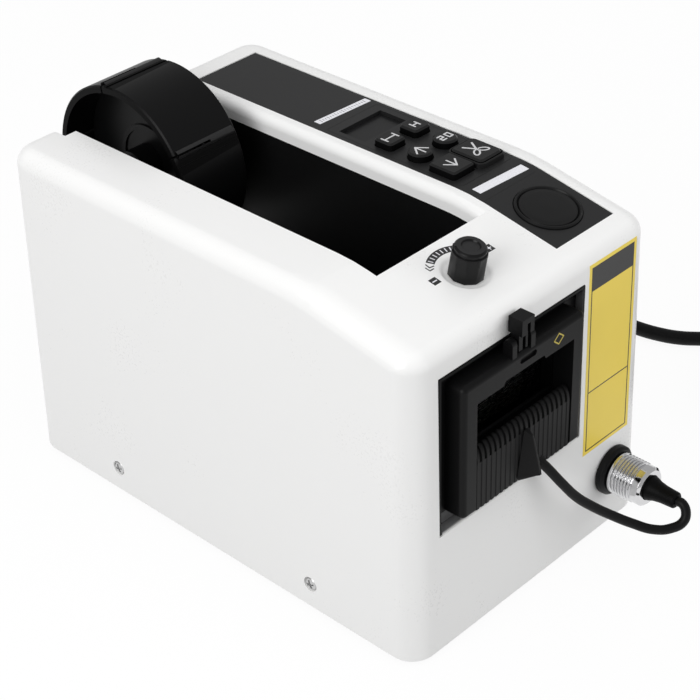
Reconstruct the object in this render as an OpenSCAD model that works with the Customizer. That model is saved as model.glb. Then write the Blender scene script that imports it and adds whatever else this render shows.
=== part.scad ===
// Automatic desk tape dispenser: a motor feeds tape from a roll on a core wheel, and a blade cuts it.
// Millimetres, +Z up. The outlet faces -Y, and the tape well lies beside the control panel on +X.
// The origin is the middle of the housing's footprint, on the table.

/* [Housing] */
// Length of the housing at its foot, front to rear
body_l = 212; // [206:1:230]
// Width of the housing at its foot
body_w = 135; // [133:1:150]
// Height of the flat rear top above the table
total_h = 140.5; // [139:0.5:150]
// Radius of the upright corners
corner_r = 10; // [8:0.5:14]
// Radius of the top edges
top_r = 7; // [5:0.5:8]
// Wall of the moulded shell
wall = 3; // [2:0.25:4]
// How far each side leans in from foot to top
draft = 1.5; // [0:0.1:2.5]
// Fall of the front deck
slope_deg = 10.6; // [6:0.2:14]
// Length of the falling front deck, front face to bend
slope_l = 51.7; // [45:0.5:60]
// Radius of the bend between the flat top and the front deck
bend_r = 80; // [30:5:110]

/* [Base] */
// Height of the rubber feet
foot_h = 1.5; // [1:0.25:4]
// Radius of a rubber foot
foot_r = 8; // [5:0.5:12]
// Distance of the feet from the outer edges
foot_inset = 20; // [16:1:30]
// Thickness of the base plate
base_t = 2.5; // [1.5:0.25:4]
// Height of the side screws above the table
screw_z = 12; // [10:0.5:15]
// Distance between the two screws of a side
screw_gap = 108; // [80:2:130]

/* [Tape well] */
// Top left of the well
well_side = 27.9; // [26.5:0.1:29.5]
// Rib between the well and the control panel
rib_w = 6; // [5:0.25:7]
// Deck between the front face and the well
front_deck = 41; // [40:0.5:44]
// Depth of the turned-down lip of the well
lip_h = 7; // [4:0.5:12]
// Rounding of the lip beside the control panel
lip_r = 3.5; // [1:0.25:4.5]
// Wall of the well liner
liner_t = 2; // [1.5:0.25:3]
// Largest roll that the trough clears, as a radius
roll_r = 80; // [72:1:82]
// Depth of the shelf in front of the trough, below the top
shelf_drop = 62.5; // [58.5:1:70.5]
// Depth of the wider notch at the rear end of the well
notch_l = 12.5; // [8:0.5:14]
// Extra width of that notch, on the left
notch_w = 5.5; // [2:0.5:7]

/* [Tape wheel] */
// Radius of the core wheel
wheel_r = 37; // [34:0.5:38]
// Space between the well's left wall and the wheel
wheel_left = 9.6; // [8:0.2:12]
// Space between the wheel and the well's right wall
wheel_right = 14.2; // [11:0.2:18]
// Distance of the wheel's axis from the rear face
wheel_rear = 26.6; // [24:0.2:30]
// Depth of the wheel's axis below the top
wheel_drop = 18.5; // [16.5:0.5:22.5]
// Rim thickness
wheel_rim = 3; // [2:0.25:5]
// Spring tongues around the rim
tongues = 5; // [3:1:6]
// Diameter of the wheel's axle
axle_d = 8; // [6:0.5:10]
// Lift of the axle before it leaves its slots
axle_lift = 10; // [6:0.5:12]

/* [Control panel] */
// Top right of the panel
panel_side = 11.9; // [11:0.1:13]
// Width of the panel
panel_w = 33.4; // [32:0.2:35]
// Free deck in front of the panel
panel_front = 11.4; // [10:0.2:16]
// Free top behind the panel
panel_rear = 15; // [10:0.5:20]
// Thickness of the panel
panel_t = 1.6; // [1:0.1:2]
// Depth of the panel's face below the top
panel_sink = 0.3; // [0:0.1:0.5]
// Width of the display opening
display_w = 23.5; // [18:0.5:26]
// Length of the display opening
display_l = 13.5; // [10:0.5:15]
// Distance from the rear keys' middle to the display
display_back = 8.6; // [7.5:0.1:10]
// Height of the keys above the panel
key_h = 3; // [2:0.25:4]
// Travel of a key
key_travel = 1.2; // [0.6:0.1:1.5]
// Side of the two unit keys
unit_key = 9; // [7:0.25:10]
// Diameter of the two round keys
round_key = 9.6; // [8:0.2:10.4]
// Width of the two large keys
large_key = 11.8; // [10:0.2:12]
// Diameter of the start button
start_d = 25.5; // [20:0.5:28]
// Distance of the start button from the front face
start_front = 28.6; // [27:0.2:31]

/* [Pressure knob] */
// Place of the knob across the machine
knob_x = -13; // [-14.5:0.5:-12]
// Distance of the knob from the front face, along the table
knob_front = 23.4; // [22:0.2:25]
// Radius of the knob at its foot
knob_r = 6.7; // [6.2:0.1:8]
// Height of the knob
knob_h = 12.3; // [9:0.25:16]
// Grip faces on the knob
knob_faces = 10; // [8:1:12]
// Diameter of the knob's stem
stem_d = 6; // [4:0.5:8]

/* [Outlet] */
// Front face left of the front hole
hole_left = 14.5; // [13.5:0.5:15.5]
// Front face right of the front hole
hole_right = 41; // [40.5:0.5:42.5]
// Depth of the front hole's lower edge below the top
hole_drop = 87.2; // [84.5:0.1:88.5]
// Height of the front hole
hole_h = 67; // [65:0.5:68]
// Gap between the hole and the guard
guard_gap = 6; // [4:0.25:7]
// How far the guard stands out of the front face
guard_out = 4.5; // [3:0.25:7]
// Width of the guard's side posts
guard_post = 7; // [5:0.25:9]
// Height of the guard's top bar
guard_bar = 9; // [7:0.25:10]
// Height of the comb's upright ribs
comb_h = 20.5; // [16:0.5:22]
// Radius of the comb's crest
crest_r = 6; // [4:0.25:6.5]
// Ribs on the comb
comb_ribs = 19; // [11:1:21]
// Depth of the grooves between the ribs
groove_d = 1.3; // [0.6:0.1:2]

/* [Feed and cutter] */
// Depth of the nip between the rollers below the top
nip_drop = 42.8; // [41.5:0.1:44.5]
// Radius of the rubber feed roller
feed_r = 6.5; // [5:0.25:6.75]
// Radius of the pressure roller
press_r = 6; // [4.5:0.25:6.5]
// Distance from the sides of the front hole to the rollers' ends
roller_in = 14.25; // [13.75:0.25:17.75]
// Diameter of the roller shafts
shaft_d = 5; // [4:0.5:6]
// Thickness of the frame plates
plate_t = 2; // [1.5:0.25:2.5]
// Lift of the pressure roller
press_lift = 1.5; // [0.5:0.25:2]
// Module of the feed gears
gear_m = 0.8; // [0.7:0.05:0.85]
// Teeth on the feed gear
gear_teeth = 24; // [20:1:25]
// Teeth on the motor pinion
pinion_teeth = 12; // [10:1:14]
// Radius of the crank that drives the blade
crank_r = 5; // [4:0.25:5.5]
// Diameter of the crank pin
crank_pin = 4; // [3:0.25:4.5]

/* [Sensor plug] */
// Distance of the sensor socket from the right side
socket_side = 20.1; // [17.5:0.2:21.5]
// Height of the sensor socket
socket_z = 27; // [24:0.5:30]
// Radius of the socket's black flange
flange_r = 10.2; // [9:0.2:11]
// Radius of the chrome coupling nut
nut_r = 8.4; // [7:0.2:9]
// Length of the coupling nut
nut_l = 15; // [12:0.5:18]
// Ridges on the coupling nut
nut_ridges = 6; // [3:1:7]
// Diameter of the sensor cord
sensor_cord_d = 3.8; // [3:0.1:4.2]

/* [Mains lead] */
// Distance of the lead's bush from the right side
bush_side = 23.5; // [17.5:1:27.5]
// Height of the bush
bush_z = 22.5; // [20:0.5:26]
// Length of the strain relief outside the housing
bush_l = 31.2; // [20:0.2:40]
// Diameter of the mains lead
lead_d = 6.4; // [5:0.1:6.8]
// Loops of the stored lead
coil_turns = 5; // [3:1:6]
// Radius of the innermost loop
coil_inner = 26; // [26:0.5:30]
// Free space between neighbouring loops
coil_gap = 0.6; // [0.5:0.05:1]

/* [Hidden] */
$fn = 48;

// Clearances: running fits, sliding fits, flat parts beside each other, and a cut's overrun
run_gap = 0.05;
slide_gap = 0.3;
seat_gap = 0.4;
over = 1;

// Colours
white = [0.93, 0.93, 0.92];
black = [0.08, 0.08, 0.085];
dark = [0.16, 0.16, 0.17];
steel = [0.72, 0.73, 0.75];
brass = [0.78, 0.62, 0.3];
green = [0.1, 0.32, 0.2];

// Outer faces of the housing at its foot
front_y = -body_l / 2;
rear_y = body_l / 2;
side_x = body_w / 2;
shell_h = total_h - foot_h;
function lean(z) = draft * (z - foot_h) / shell_h;
base_top = foot_h + base_t;

// Flat top, bend and falling deck
bend_y = front_y + slope_l;
bend_t = bend_r * tan(slope_deg / 2);
bend_steps = 4;
function deck_z(y) = total_h - (bend_y - y) * tan(slope_deg);
// Top of the housing as points from rear to front, lowered by drop
function top_line(y_rear, y_front, drop) = concat(
    [[y_rear, total_h - drop]],
    [for (i = [0:bend_steps]) let (a = slope_deg * i / bend_steps)
        [bend_y + bend_t - bend_r * sin(a), total_h - drop - bend_r * (1 - cos(a))]],
    [[y_front, deck_z(y_front) - drop]]);

// Across the machine from the right: panel, rib, well
panel_x1 = side_x - panel_side;
panel_x0 = panel_x1 - panel_w;
panel_x = panel_x1 - panel_w / 2;
well_x0 = well_side - side_x;
well_x1 = panel_x0 - rib_w;

// Tape well and wheel
well_y0 = front_y + front_deck;
notch_y = rear_y - notch_l;
wheel_y = rear_y - wheel_rear;
wheel_z = total_h - wheel_drop;
shelf_z = total_h - shelf_drop;
roll_floor_z = wheel_z - sqrt(roll_r * roll_r - wheel_rear * wheel_rear);
wheel_w = well_x1 - well_x0 - wheel_left - wheel_right;
wheel_x = well_x0 + wheel_left + wheel_w / 2;
cheek_t = 5;
cheek_l = 24;
cheek_r = 4;
cheek_drop = 28;
cheek_h = axle_lift + 1;

// Control panel
panel_y0 = front_y + panel_front;
panel_y1 = rear_y - panel_rear;
panel_top = total_h - panel_sink;
panel_under = panel_top - panel_t;
key_col = [panel_x - 6.9, panel_x + 7.3];
key_flange = 0.7;
key_stem = 4;
board_t = 1.6;
board_top = panel_under - key_stem - key_travel - 0.1;
window_y0 = bend_y + bend_t + seat_gap;
key_pitch = 15.44;
key_row = [for (row = [2:-1:0]) window_y0 + 9.4 + row * key_pitch];
display_y = key_row[0] + display_back;
window_y1 = display_y + display_l + 3;
window_side = 2.4;
start_y = front_y + start_front;
start_collar = 1.4;

// Pressure knob and feed rollers lie on one line square to the front deck
knob_y = front_y + knob_front;
knob_sink = 1.2;
dish_foot = knob_r + 0.6;
dish_w = 2.5;
nip_z = total_h - nip_drop;
nip_depth = (deck_z(knob_y) - nip_z) / cos(slope_deg);
nip_gap = 0.3;
press_depth = nip_depth - press_r - nip_gap / 2;
feed_depth = nip_depth + feed_r + nip_gap / 2;
feed_y = knob_y + feed_depth * sin(slope_deg);
feed_z = deck_z(knob_y) - feed_depth * cos(slope_deg);
press_y = knob_y + press_depth * sin(slope_deg);
nip_y = knob_y + nip_depth * sin(slope_deg);
function path_z(y) = nip_z - (nip_y - y) * tan(slope_deg);

// Front hole, bezel and guard
hole_z = total_h - hole_drop;
hole_x = hole_left - side_x;
hole_w = body_w - hole_left - hole_right;
hole_mid = hole_x + hole_w / 2;
bezel_t = 1.2;
bezel_back = front_y + 5.5;
guard_w = hole_w - 2 * guard_gap - 1.1;
guard_x0 = hole_mid - guard_w / 2;
guard_x1 = hole_mid + guard_w / 2;
guard_z0 = hole_z + guard_gap - 0.3;
guard_z1 = hole_z + hole_h - guard_gap + 0.7;
guard_front = front_y - guard_out;
guard_back = bezel_back - bezel_t;
window_x0 = guard_x0 + guard_post;
window_x1 = guard_x1 - guard_post + 0.6;
window_z1 = guard_z1 - guard_bar;
comb_z0 = guard_z0 + 0.7;
comb_top = comb_z0 + comb_h + crest_r;
latch_pin_y = guard_front + 2.6;
latch_pin_z = guard_z1 + 4;

// Feed frame
roller_l = hole_w - 2 * roller_in;
frame_in = roller_l / 2 + 4.5;
frame_x0 = hole_mid - frame_in - plate_t;
frame_x1 = hole_mid + frame_in + plate_t;
frame_y0 = bezel_back + 0.2;
frame_y1 = well_y0 - liner_t - 0.5;
frame_top = nip_z + 21;
foot_flange = 9;

// Blade, crank and motors
carriage_y0 = bezel_back + 2.5;
carriage_t = 3;
carriage_y1 = carriage_y0 + carriage_t;
blade_t = 1.4;
blade_gap = 0.2;
fixed_y0 = carriage_y1 + blade_t + blade_gap;
blade_rest = path_z(carriage_y1) + 3.5;
swing = 50;
stroke = 2 * crank_r * sin(swing);
crank_y = front_y + 18;
crank_z = nip_z + 2.3;
pin_rest_z = crank_z + crank_r * sin(swing);
ear_x0 = frame_x1 + 1;
ear_t = 2;
disc_x0 = ear_x0 + ear_t + 1;
disc_t = 3;
bracket_x0 = disc_x0 + disc_t + 0.5;
gear_x0 = frame_x1 + 1;
gear_w = 2.5;
gear_pitch = gear_m * gear_teeth / 2;
pinion_pitch = gear_m * pinion_teeth / 2;
pinion_z = feed_z - gear_pitch - pinion_pitch;
feed_motor_r = 13.5;
cutter_motor_r = 11.8;
motor_clear = 5.75;
motor_l = side_x - wall - draft - motor_clear - bracket_x0 - plate_t;

// Sensor plug, along -Y from the socket
socket_x = side_x - socket_side;
flange_t = 3.4;
nut_y0 = front_y - flange_t - 0.3;
nut_y1 = nut_y0 - nut_l;
boot_l = 12.5;
boot_y1 = nut_y1 - boot_l;

// Sensor cord: hangs in one loop from the boot to the gland of the exit sensor
boot_end = [socket_x, boot_y1, socket_z];
gland_end = [hole_mid + 11.2, guard_front + 1.2, comb_z0 + 0.3];
gland_way = unit([-2.4, 2.5, 4]);
gland_r = 2.5;
gland_l = 3.9;
sag_low = [[-0.6, -4.6, -2.6], [-2.6, -5, -5.8], [-7, -2.6, -7.6], [-13, 1.2, -6.5], [-18.8, 6.8, -3.1]];
sag_high = [[24.05, -16.1, -30.9], [17.45, -12.1, -25], [11.05, -8.7, -18.2], [6.05, -5.6, -10.6]];
sensor_route = concat([boot_end, boot_end - [0, 0.6 * sensor_cord_d, 0]], [for (p = sag_low) boot_end + p],
    [for (p = sag_high) gland_end + p], [gland_end - sensor_cord_d * gland_way, gland_end]);

// Mains lead: leaves at the rear, drops to the table and runs round the right side to the coil
bush_x = side_x - bush_side;
bush_end = [bush_x, rear_y + bush_l, bush_z];
lead_loop = [[45.5, 158, 19.6], [51, 170.5, 14], [62, 180, 8.2], [77, 184, 4.6], [92, 181.5, 3.4],
    [106, 173.5, 3.25], [119, 161, 3.25], [131, 145, 3.25], [141.5, 127, 3.25], [150, 107.5, 3.25],
    [156, 87, 3.25], [160.3, 66, 3.25], [162.7, 44, 3.25], [163.7, 22, 3.25], [163.8, 0, 3.25],
    [163.6, -17, 3.25], [164.4, -34, 3.25], [166.8, -45, 3.25], [170.4, -53.3, 3.25], [175.4, -60.1, 3.25],
    [182, -67.9, 3.3], [189, -76.1, 3.7]];
tail_loop = [[216.2, -108.4, 11.1], [220.6, -116.4, 11], [223.6, -125, 11]];
tail_end = [225, -140, 11];
coil_pitch = lead_d + coil_gap;
coil_outer = coil_inner + coil_pitch * coil_turns / 2;
coil_z = lead_d / 2 + 1;
coil_heading = [0.65, -0.76] / norm([0.65, -0.76]);
coil_start = [206, -96];
coil_mid = coil_start + coil_outer * [coil_heading[1], -coil_heading[0]];
coil_angle = atan2(-coil_heading[0], coil_heading[1]) + 180;

// Small helpers

// Places children on the falling deck, with their z square to it
module on_deck(x, y) {
    translate([x, y, deck_z(y)]) rotate([slope_deg, 0, 0]) children();
}

// Turns a flat shape drawn in Y and Z into a plate from x0 to x1
module plate_x(x0, x1) {
    translate([x0, 0, 0]) rotate([90, 0, 90]) linear_extrude(x1 - x0) children();
}

// Turns a flat shape drawn in X and Z into a plate from y0 to y1
module plate_y(y0, y1) {
    translate([0, y1, 0]) rotate([90, 0, 0]) linear_extrude(y1 - y0) children();
}

// Box between two corners
module box(low, high) {
    translate(low) cube(high - low);
}

// Rod along X or Y
module rod_x(x0, x1, y, z, r) {
    translate([x0, y, z]) rotate([0, 90, 0]) cylinder(r = r, h = x1 - x0);
}
module rod_y(y0, y1, x, z, r) {
    translate([x, y1, z]) rotate([90, 0, 0]) cylinder(r = r, h = y1 - y0);
}

// Rectangle with round corners, about its middle
module round_rect(w, l, r) {
    square([w - 2 * r, l], center = true);
    square([w, l - 2 * r], center = true);
    for (sx = [-1, 1], sy = [-1, 1]) translate([sx * (w / 2 - r), sy * (l / 2 - r)]) circle(r);
}

// Tube along a list of points, with square ends
function unit(v) = v / norm(v);
function tangent(p, i) = unit(p[min(i + 1, len(p) - 1)] - p[max(i - 1, 0)]);
function carry(s, t) = unit(s - t * (s * t));
module tube(path, r, sides) {
    n = len(path);
    ts = [for (i = [0:n - 1]) tangent(path, i)];
    across = [for (i = 0, s = carry(cross(ts[0], [0.3, 0.2, 1]), ts[0]); i < n;
        i = i + 1, s = i < n ? carry(s, ts[i]) : s) s];
    points = [for (i = [0:n - 1], k = [0:sides - 1]) let (a = 360 * (k + 0.5) / sides)
        path[i] + r * (cos(a) * across[i] + sin(a) * cross(ts[i], across[i]))];
    skin = [for (i = [0:n - 2], k = [0:sides - 1]) let (m = (k + 1) % sides)
        each [[i * sides + k, (i + 1) * sides + m, i * sides + m],
            [i * sides + k, (i + 1) * sides + k, (i + 1) * sides + m]]];
    first = [for (k = [1:sides - 2]) [0, k, k + 1]];
    last = [for (k = [1:sides - 2]) let (b = (n - 1) * sides) [b, b + k + 1, b + k]];
    polyhedron(points, concat(skin, first, last));
}

// Housing

// Ring whose outside is an upright corner with a round top edge
module corner_top(t) {
    edge = top_r - t;
    rotate_extrude($fn = 40) intersection() {
        translate([corner_r - top_r, 0]) circle(edge, $fn = 32);
        translate([0, -top_r]) square([2 * corner_r, 2 * top_r]);
    }
}

// Outer form of the housing, moved in by t on every side but the foot
module housing_form(t) {
    ring = corner_r - top_r;
    cx = side_x - draft - corner_r;
    cy_rear = rear_y - draft - corner_r;
    cy_front = front_y + draft + corner_r;
    edge_y = cy_front - top_r * sin(slope_deg) - ring;
    hull() {
        for (sx = [-1, 1]) {
            for (y = [front_y + corner_r, rear_y - corner_r])
                translate([sx * (side_x - corner_r), y, foot_h - (t > 0 ? over : 0)])
                    cylinder(r = corner_r - t, h = 0.5, $fn = 40);
            translate([sx * cx, cy_rear, total_h - top_r]) corner_top(t);
            for (i = [0, 2, 4]) {
                a = slope_deg * i / bend_steps;
                translate([sx * cx, bend_y + bend_t - bend_r * sin(a) + top_r * sin(a) + ring,
                    total_h - bend_r * (1 - cos(a)) - top_r * cos(a)]) corner_top(t);
            }
            translate([sx * cx, cy_front, deck_z(edge_y) - top_r * cos(slope_deg)]) corner_top(t);
        }
    }
}

// Well opening with the lip's rounding on the panel side
module well_opening() {
    box([well_x0, well_y0, roll_floor_z], [well_x1, rear_y + over, total_h + over]);
    box([well_x0 - notch_w, notch_y, roll_floor_z], [well_x1, rear_y + over, total_h + over]);
    difference() {
        plate_x(well_x1 - over, well_x1 + lip_r)
            polygon(concat(top_line(rear_y + over, well_y0, lip_r),
                [[well_y0, total_h + over], [rear_y + over, total_h + over]]));
        hull() {
            for (p = top_line(rear_y + over, well_y0, lip_r)) translate([well_x1 + lip_r, p[0], p[1]])
                sphere(lip_r, $fn = 32);
        }
    }
}

module panel_recess(y0, y1, x0, x1, depth) {
    plate_x(x0, x1) polygon(concat(top_line(y1, y0, depth), [[y0, total_h + over], [y1, total_h + over]]));
}

module key_window() {
    box([panel_x0 + window_side, window_y0, board_top], [panel_x1 - window_side + 0.4, window_y1, total_h]);
}

module board_posts(r) {
    for (x = [panel_x0 + 1, panel_x1 - 1], y = [window_y0 + 4, window_y1 - 4])
        translate([x, y, board_top]) cylinder(r = r, h = total_h - panel_sink - panel_t - board_top);
}

module housing() {
    color(white) difference() {
        union() {
            difference() {
                housing_form(0);
                housing_form(wall);
            }
            intersection() {
                housing_form(wall / 2);
                well_lip();
            }
            board_posts(2.2);
        }
        well_opening();
        panel_recess(panel_y0, panel_y1, panel_x0, panel_x1, panel_sink + panel_t);
        key_window();
        on_deck(panel_x, start_y) translate([0, 0, -3 * wall])
            cylinder(r = start_d / 2 + start_collar + slide_gap, h = 4 * wall);
        on_deck(knob_x, knob_y) {
            translate([0, 0, -knob_sink]) cylinder(r1 = dish_foot, r2 = dish_foot + 2 * dish_w, h = 2 * knob_sink);
            translate([0, 0, -3 * wall]) cylinder(r = stem_d / 2 + run_gap, h = 4 * wall);
        }
        box([hole_x, front_y - over, hole_z], [hole_x + hole_w, front_y + 2 * wall, hole_z + hole_h]);
        rod_y(front_y - over, front_y + 3 * wall, socket_x, socket_z, 6.2);
        rod_y(rear_y - 3 * wall, rear_y + over, bush_x, bush_z, 6.2);
        switch_hole();
        side_screws(3.2, 1.7, over);
    }
}

// Turned-down lip that carries the top of the well liner
module well_lip() {
    plate_x(well_x0 - liner_t, well_x1 + max(liner_t, lip_r)) polygon(concat(
        top_line(rear_y - wall, well_y0 - liner_t, 0),
        [for (i = [bend_steps + 2:-1:0]) top_line(rear_y - wall, well_y0 - liner_t, lip_h)[i]]));
}

switch_z = 62;
switch_w = 13;
switch_l = 19;
module switch_hole() {
    box([bush_x - switch_w / 2, rear_y - 3 * wall, switch_z - switch_l / 2],
        [bush_x + switch_w / 2, rear_y + over, switch_z + switch_l / 2]);
}

// Side screws or their holes: head radius, shank radius and length past the side
screw_l = 8;
head_sink = 1.2;
module side_screws(head_r, shank_r, past) {
    seat = side_x - head_sink;
    head_l = head_sink + past;
    for (s = [-1, 1], y = [-1, 1]) {
        rod_x(s > 0 ? seat : -seat - head_l, s > 0 ? seat + head_l : -seat, y * screw_gap / 2, screw_z, head_r);
        rod_x(s > 0 ? seat - screw_l : -seat, s > 0 ? seat : screw_l - seat, y * screw_gap / 2, screw_z, shank_r);
    }
}

module housing_screws() {
    color(steel) side_screws(2.8, 1.5, 0.1);
}

// Base

module base_plate() {
    w = body_w - 2 * wall - 2 * seat_gap;
    l = body_l - 2 * wall - 2 * seat_gap;
    color(steel) difference() {
        union() {
            translate([0, 0, foot_h]) linear_extrude(base_t) round_rect(w, l, corner_r - wall);
            for (s = [-1, 1]) box([s > 0 ? w / 2 - 2 : -w / 2, -screw_gap / 2 - 9, base_top - 0.5],
                [s > 0 ? w / 2 : 2 - w / 2, screw_gap / 2 + 9, screw_z + 5]);
        }
        side_screws(3.2, 1.6, over);
    }
}

module rubber_feet() {
    color(dark) for (sx = [-1, 1], sy = [-1, 1])
        translate([sx * (side_x - foot_inset), sy * (rear_y - foot_inset), 0])
            rotate_extrude() polygon([[0, 0], [foot_r - 0.5, 0], [foot_r, 0.5], [foot_r, foot_h], [0, foot_h]]);
}

// Tape well and wheel

// Side view of the well's hollow, moved out by t
module well_side(t) {
    intersection() {
        union() {
            translate([wheel_y, wheel_z]) circle(roll_r + t, $fn = 96);
            translate([well_y0 - t, shelf_z - t]) square([rear_y - well_y0, total_h]);
        }
        polygon(concat(top_line(rear_y - wall - draft - 0.3, well_y0 - t, lip_h), [[well_y0 - t, 0],
            [rear_y - wall - draft - 0.3, 0]]));
    }
}

module well_liner() {
    inlet_z0 = nip_z - 12;
    color(black) difference() {
        union() {
            plate_x(well_x0 - liner_t, well_x1 + liner_t) well_side(liner_t);
            intersection() {
                plate_x(well_x0 - notch_w - liner_t, well_x0) well_side(liner_t);
                box([-side_x, notch_y - liner_t, 0], [side_x, rear_y, total_h]);
            }
        }
        plate_x(well_x0, well_x1) open_past() well_side(0);
        intersection() {
            plate_x(well_x0 - notch_w, well_x1) open_past() well_side(0);
            box([-side_x, notch_y, 0], [side_x, rear_y, total_h + over]);
        }
        box([hole_mid - roller_l / 2, well_y0 - 2 * liner_t, inlet_z0],
            [hole_mid + roller_l / 2, well_y0 + over, inlet_z0 + 22]);
        rod_x(well_x0 - liner_t - over, well_x1 + liner_t + over, guide_y, guide_z, guide_pin_r + run_gap);
    }
}

// The hollow, drawn through the open top and rear
module open_past() {
    children();
    translate([0, 3]) intersection() {
        children();
        translate([well_y0, total_h / 2 + 40]) square([body_l, total_h]);
    }
    translate([4, 0]) intersection() {
        children();
        translate([wheel_y, 0]) square([body_l, 2 * total_h]);
    }
}

guide_y = well_y0 + 8;
guide_z = nip_z + 1;
guide_r = 5;
guide_pin_r = 2;
module guide_roller() {
    color(dark) {
        rod_x(well_x0 + slide_gap, well_x1 - slide_gap, guide_y, guide_z, guide_r);
        rod_x(well_x0 - liner_t, well_x1 + liner_t, guide_y, guide_z, guide_pin_r);
    }
}

// Cheeks on the well's side walls, with slots open at the top for the axle
module axle_cheeks() {
    top = wheel_z + cheek_h;
    color(black) for (x = [well_x0, well_x1 - cheek_t]) difference() {
        plate_x(x, x + cheek_t) {
            translate([wheel_y, wheel_z - cheek_drop / 2]) round_rect(cheek_l, cheek_drop + 2 * cheek_h, cheek_r);
        }
        rod_x(x - over, x + cheek_t + over, wheel_y, wheel_z, axle_d / 2 + run_gap);
        box([x - over, wheel_y - axle_d / 2 - run_gap, wheel_z],
            [x + cheek_t + over, wheel_y + axle_d / 2 + run_gap, top + over]);
    }
}

hub_l = 22;
hub_r = 8;
module wheel_axle() {
    hub_x0 = wheel_x - hub_l / 2;
    color(steel) {
        rod_x(well_x0 + slide_gap, well_x1 - slide_gap, wheel_y, wheel_z, axle_d / 2);
        for (x = [hub_x0 - slide_gap - 1.5, hub_x0 + hub_l + slide_gap])
            rod_x(x, x + 1.5, wheel_y, wheel_z, axle_d / 2 + 2);
    }
}

// Core wheel: rim, recessed web, hub with a C-shaped ridge, and grooved spring tongues
module tape_wheel() {
    half = wheel_w / 2;
    inner = wheel_r - wheel_rim;
    bore = axle_d / 2 + run_gap;
    web = 3;
    slit_angle = 169;
    ridge_angle = 239;
    color(black) translate([wheel_x, wheel_y, wheel_z]) rotate([0, 90, 0]) difference() {
        union() {
            rotate_extrude($fn = 96) polygon([[bore, -hub_l / 2], [hub_r, -hub_l / 2], [hub_r, -web / 2],
                [inner, -web / 2], [inner, -half], [wheel_r - 0.6, -half], [wheel_r, 0.6 - half],
                [wheel_r, half - 0.6], [wheel_r - 0.6, half], [inner, half], [inner, web / 2],
                [hub_r, web / 2], [hub_r, hub_l / 2], [bore, hub_l / 2]]);
            for (i = [0:tongues - 1]) rotate([0, 0, ridge_angle + 360 * i / tongues])
                translate([wheel_r - 0.9, 0, 1.5 - half]) cylinder(r = 1.9, h = wheel_w - 3);
            linear_extrude(web + 1.5, center = true) difference() {
                circle(hub_r + 8);
                circle(hub_r + 6);
                translate([0, -hub_r]) square([3 * hub_r, 2 * hub_r]);
            }
        }
        for (i = [0:tongues - 1]) rotate([0, 0, slit_angle + 360 * i / tongues]) {
            translate([wheel_r - 0.5, 1.8, -half - over]) cube([2, 1.4, wheel_w + 2 * over]);
            translate([inner - over, -1.6, -half - over]) cube([wheel_rim + 3, 0.9, 0.6 * wheel_w]);
        }
    }
}

// Control panel, keys and display

module control_panel() {
    fit = 0.15;
    color(dark) difference() {
        plate_x(panel_x0 + fit, panel_x1 - fit) polygon(concat(
            top_line(panel_y1 - fit, panel_y0 + fit, panel_sink),
            [for (i = [bend_steps + 2:-1:0])
                top_line(panel_y1 - fit, panel_y0 + fit, panel_sink + panel_t)[i]]));
        translate([panel_x - display_w / 2, display_y, panel_under - over])
            cube([display_w, display_l, panel_t + 2 * over]);
        for (k = [0:5]) key_place(k) translate([0, 0, panel_under - over])
            linear_extrude(panel_t + 2 * over) key_outline(k, slide_gap);
        on_deck(panel_x, start_y) translate([0, 0, -2 * wall])
            cylinder(r = start_d / 2 + slide_gap, h = 4 * wall);
    }
}

module display_window() {
    color([0.05, 0.05, 0.06]) translate([panel_x - display_w / 2 - 1.5, display_y - 1.5, panel_under - 1.5])
        cube([display_w + 3, display_l + 3, 1.5]);
}

module display_module() {
    color(dark) translate([panel_x - display_w / 2 - 0.5, display_y - 0.5, board_top])
        cube([display_w + 1, display_l + 1, panel_under - 1.5 - board_top]);
}

module keypad_board() {
    color(green) translate([panel_x0 - 1.5, window_y0, board_top - board_t])
        cube([panel_w + 3, window_y1 - window_y0 + 2, board_t]);
}

// Keys in the order unit, unit, round, round, large, large
module key_place(k) {
    translate([key_col[k % 2], key_row[floor(k / 2)], 0]) children();
}
module key_outline(k, grow) {
    if (k < 2) round_rect(unit_key + 2 * grow, unit_key + 2 * grow, 1.6 + grow);
    else if (k < 4) circle(round_key / 2 + grow);
    else if (k < 5) round_rect(large_key + 2 * grow, large_key + 1 + 2 * grow, 1.2 + grow);
    else round_rect(large_key + 0.8 + 2 * grow, large_key + 3.6 + 2 * grow, 1.8 + grow);
}
module key(k) {
    edge = 0.7;
    flange_top = panel_under - slide_gap;
    color(black) key_place(k) {
        hull() {
            translate([0, 0, panel_top + key_h - edge]) linear_extrude(0.01) key_outline(k, 0);
            translate([0, 0, panel_top + key_h - 0.01]) linear_extrude(0.01) key_outline(k, -edge);
        }
        translate([0, 0, flange_top - 1]) linear_extrude(panel_top + key_h - edge - flange_top + 1.005)
            key_outline(k, 0);
        translate([0, 0, flange_top - 1]) linear_extrude(1) key_outline(k, key_flange);
        translate([0, 0, panel_under - key_stem]) cylinder(r = 2.2, h = key_stem - 1);
    }
}
module key_long_unit() { key(0); }
module key_short_unit() { key(1); }
module key_up() { key(2); }
module key_preset() { key(3); }
module key_down() { key(4); }
module key_cut() { key(5); }

// Round start button: a shallow dished disc, held by its collar below the panel
module start_button() {
    r = start_d / 2;
    top = 0.9 - panel_sink;
    under = -panel_sink - panel_t - slide_gap;
    color(black) on_deck(panel_x, start_y) rotate_extrude($fn = 64) polygon([[0, under - 2.4], [3, under - 2.4],
        [3, under - 1], [r + start_collar - 0.3, under - 1], [r + start_collar - 0.3, under], [r, under],
        [r, top - 0.5], [r - 0.5, top], [r - 1, top], [r - 1.5, top - 0.9], [r - 1.9, top - 0.35],
        [r - 4, top - 0.15], [0, top]]);
}

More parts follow.
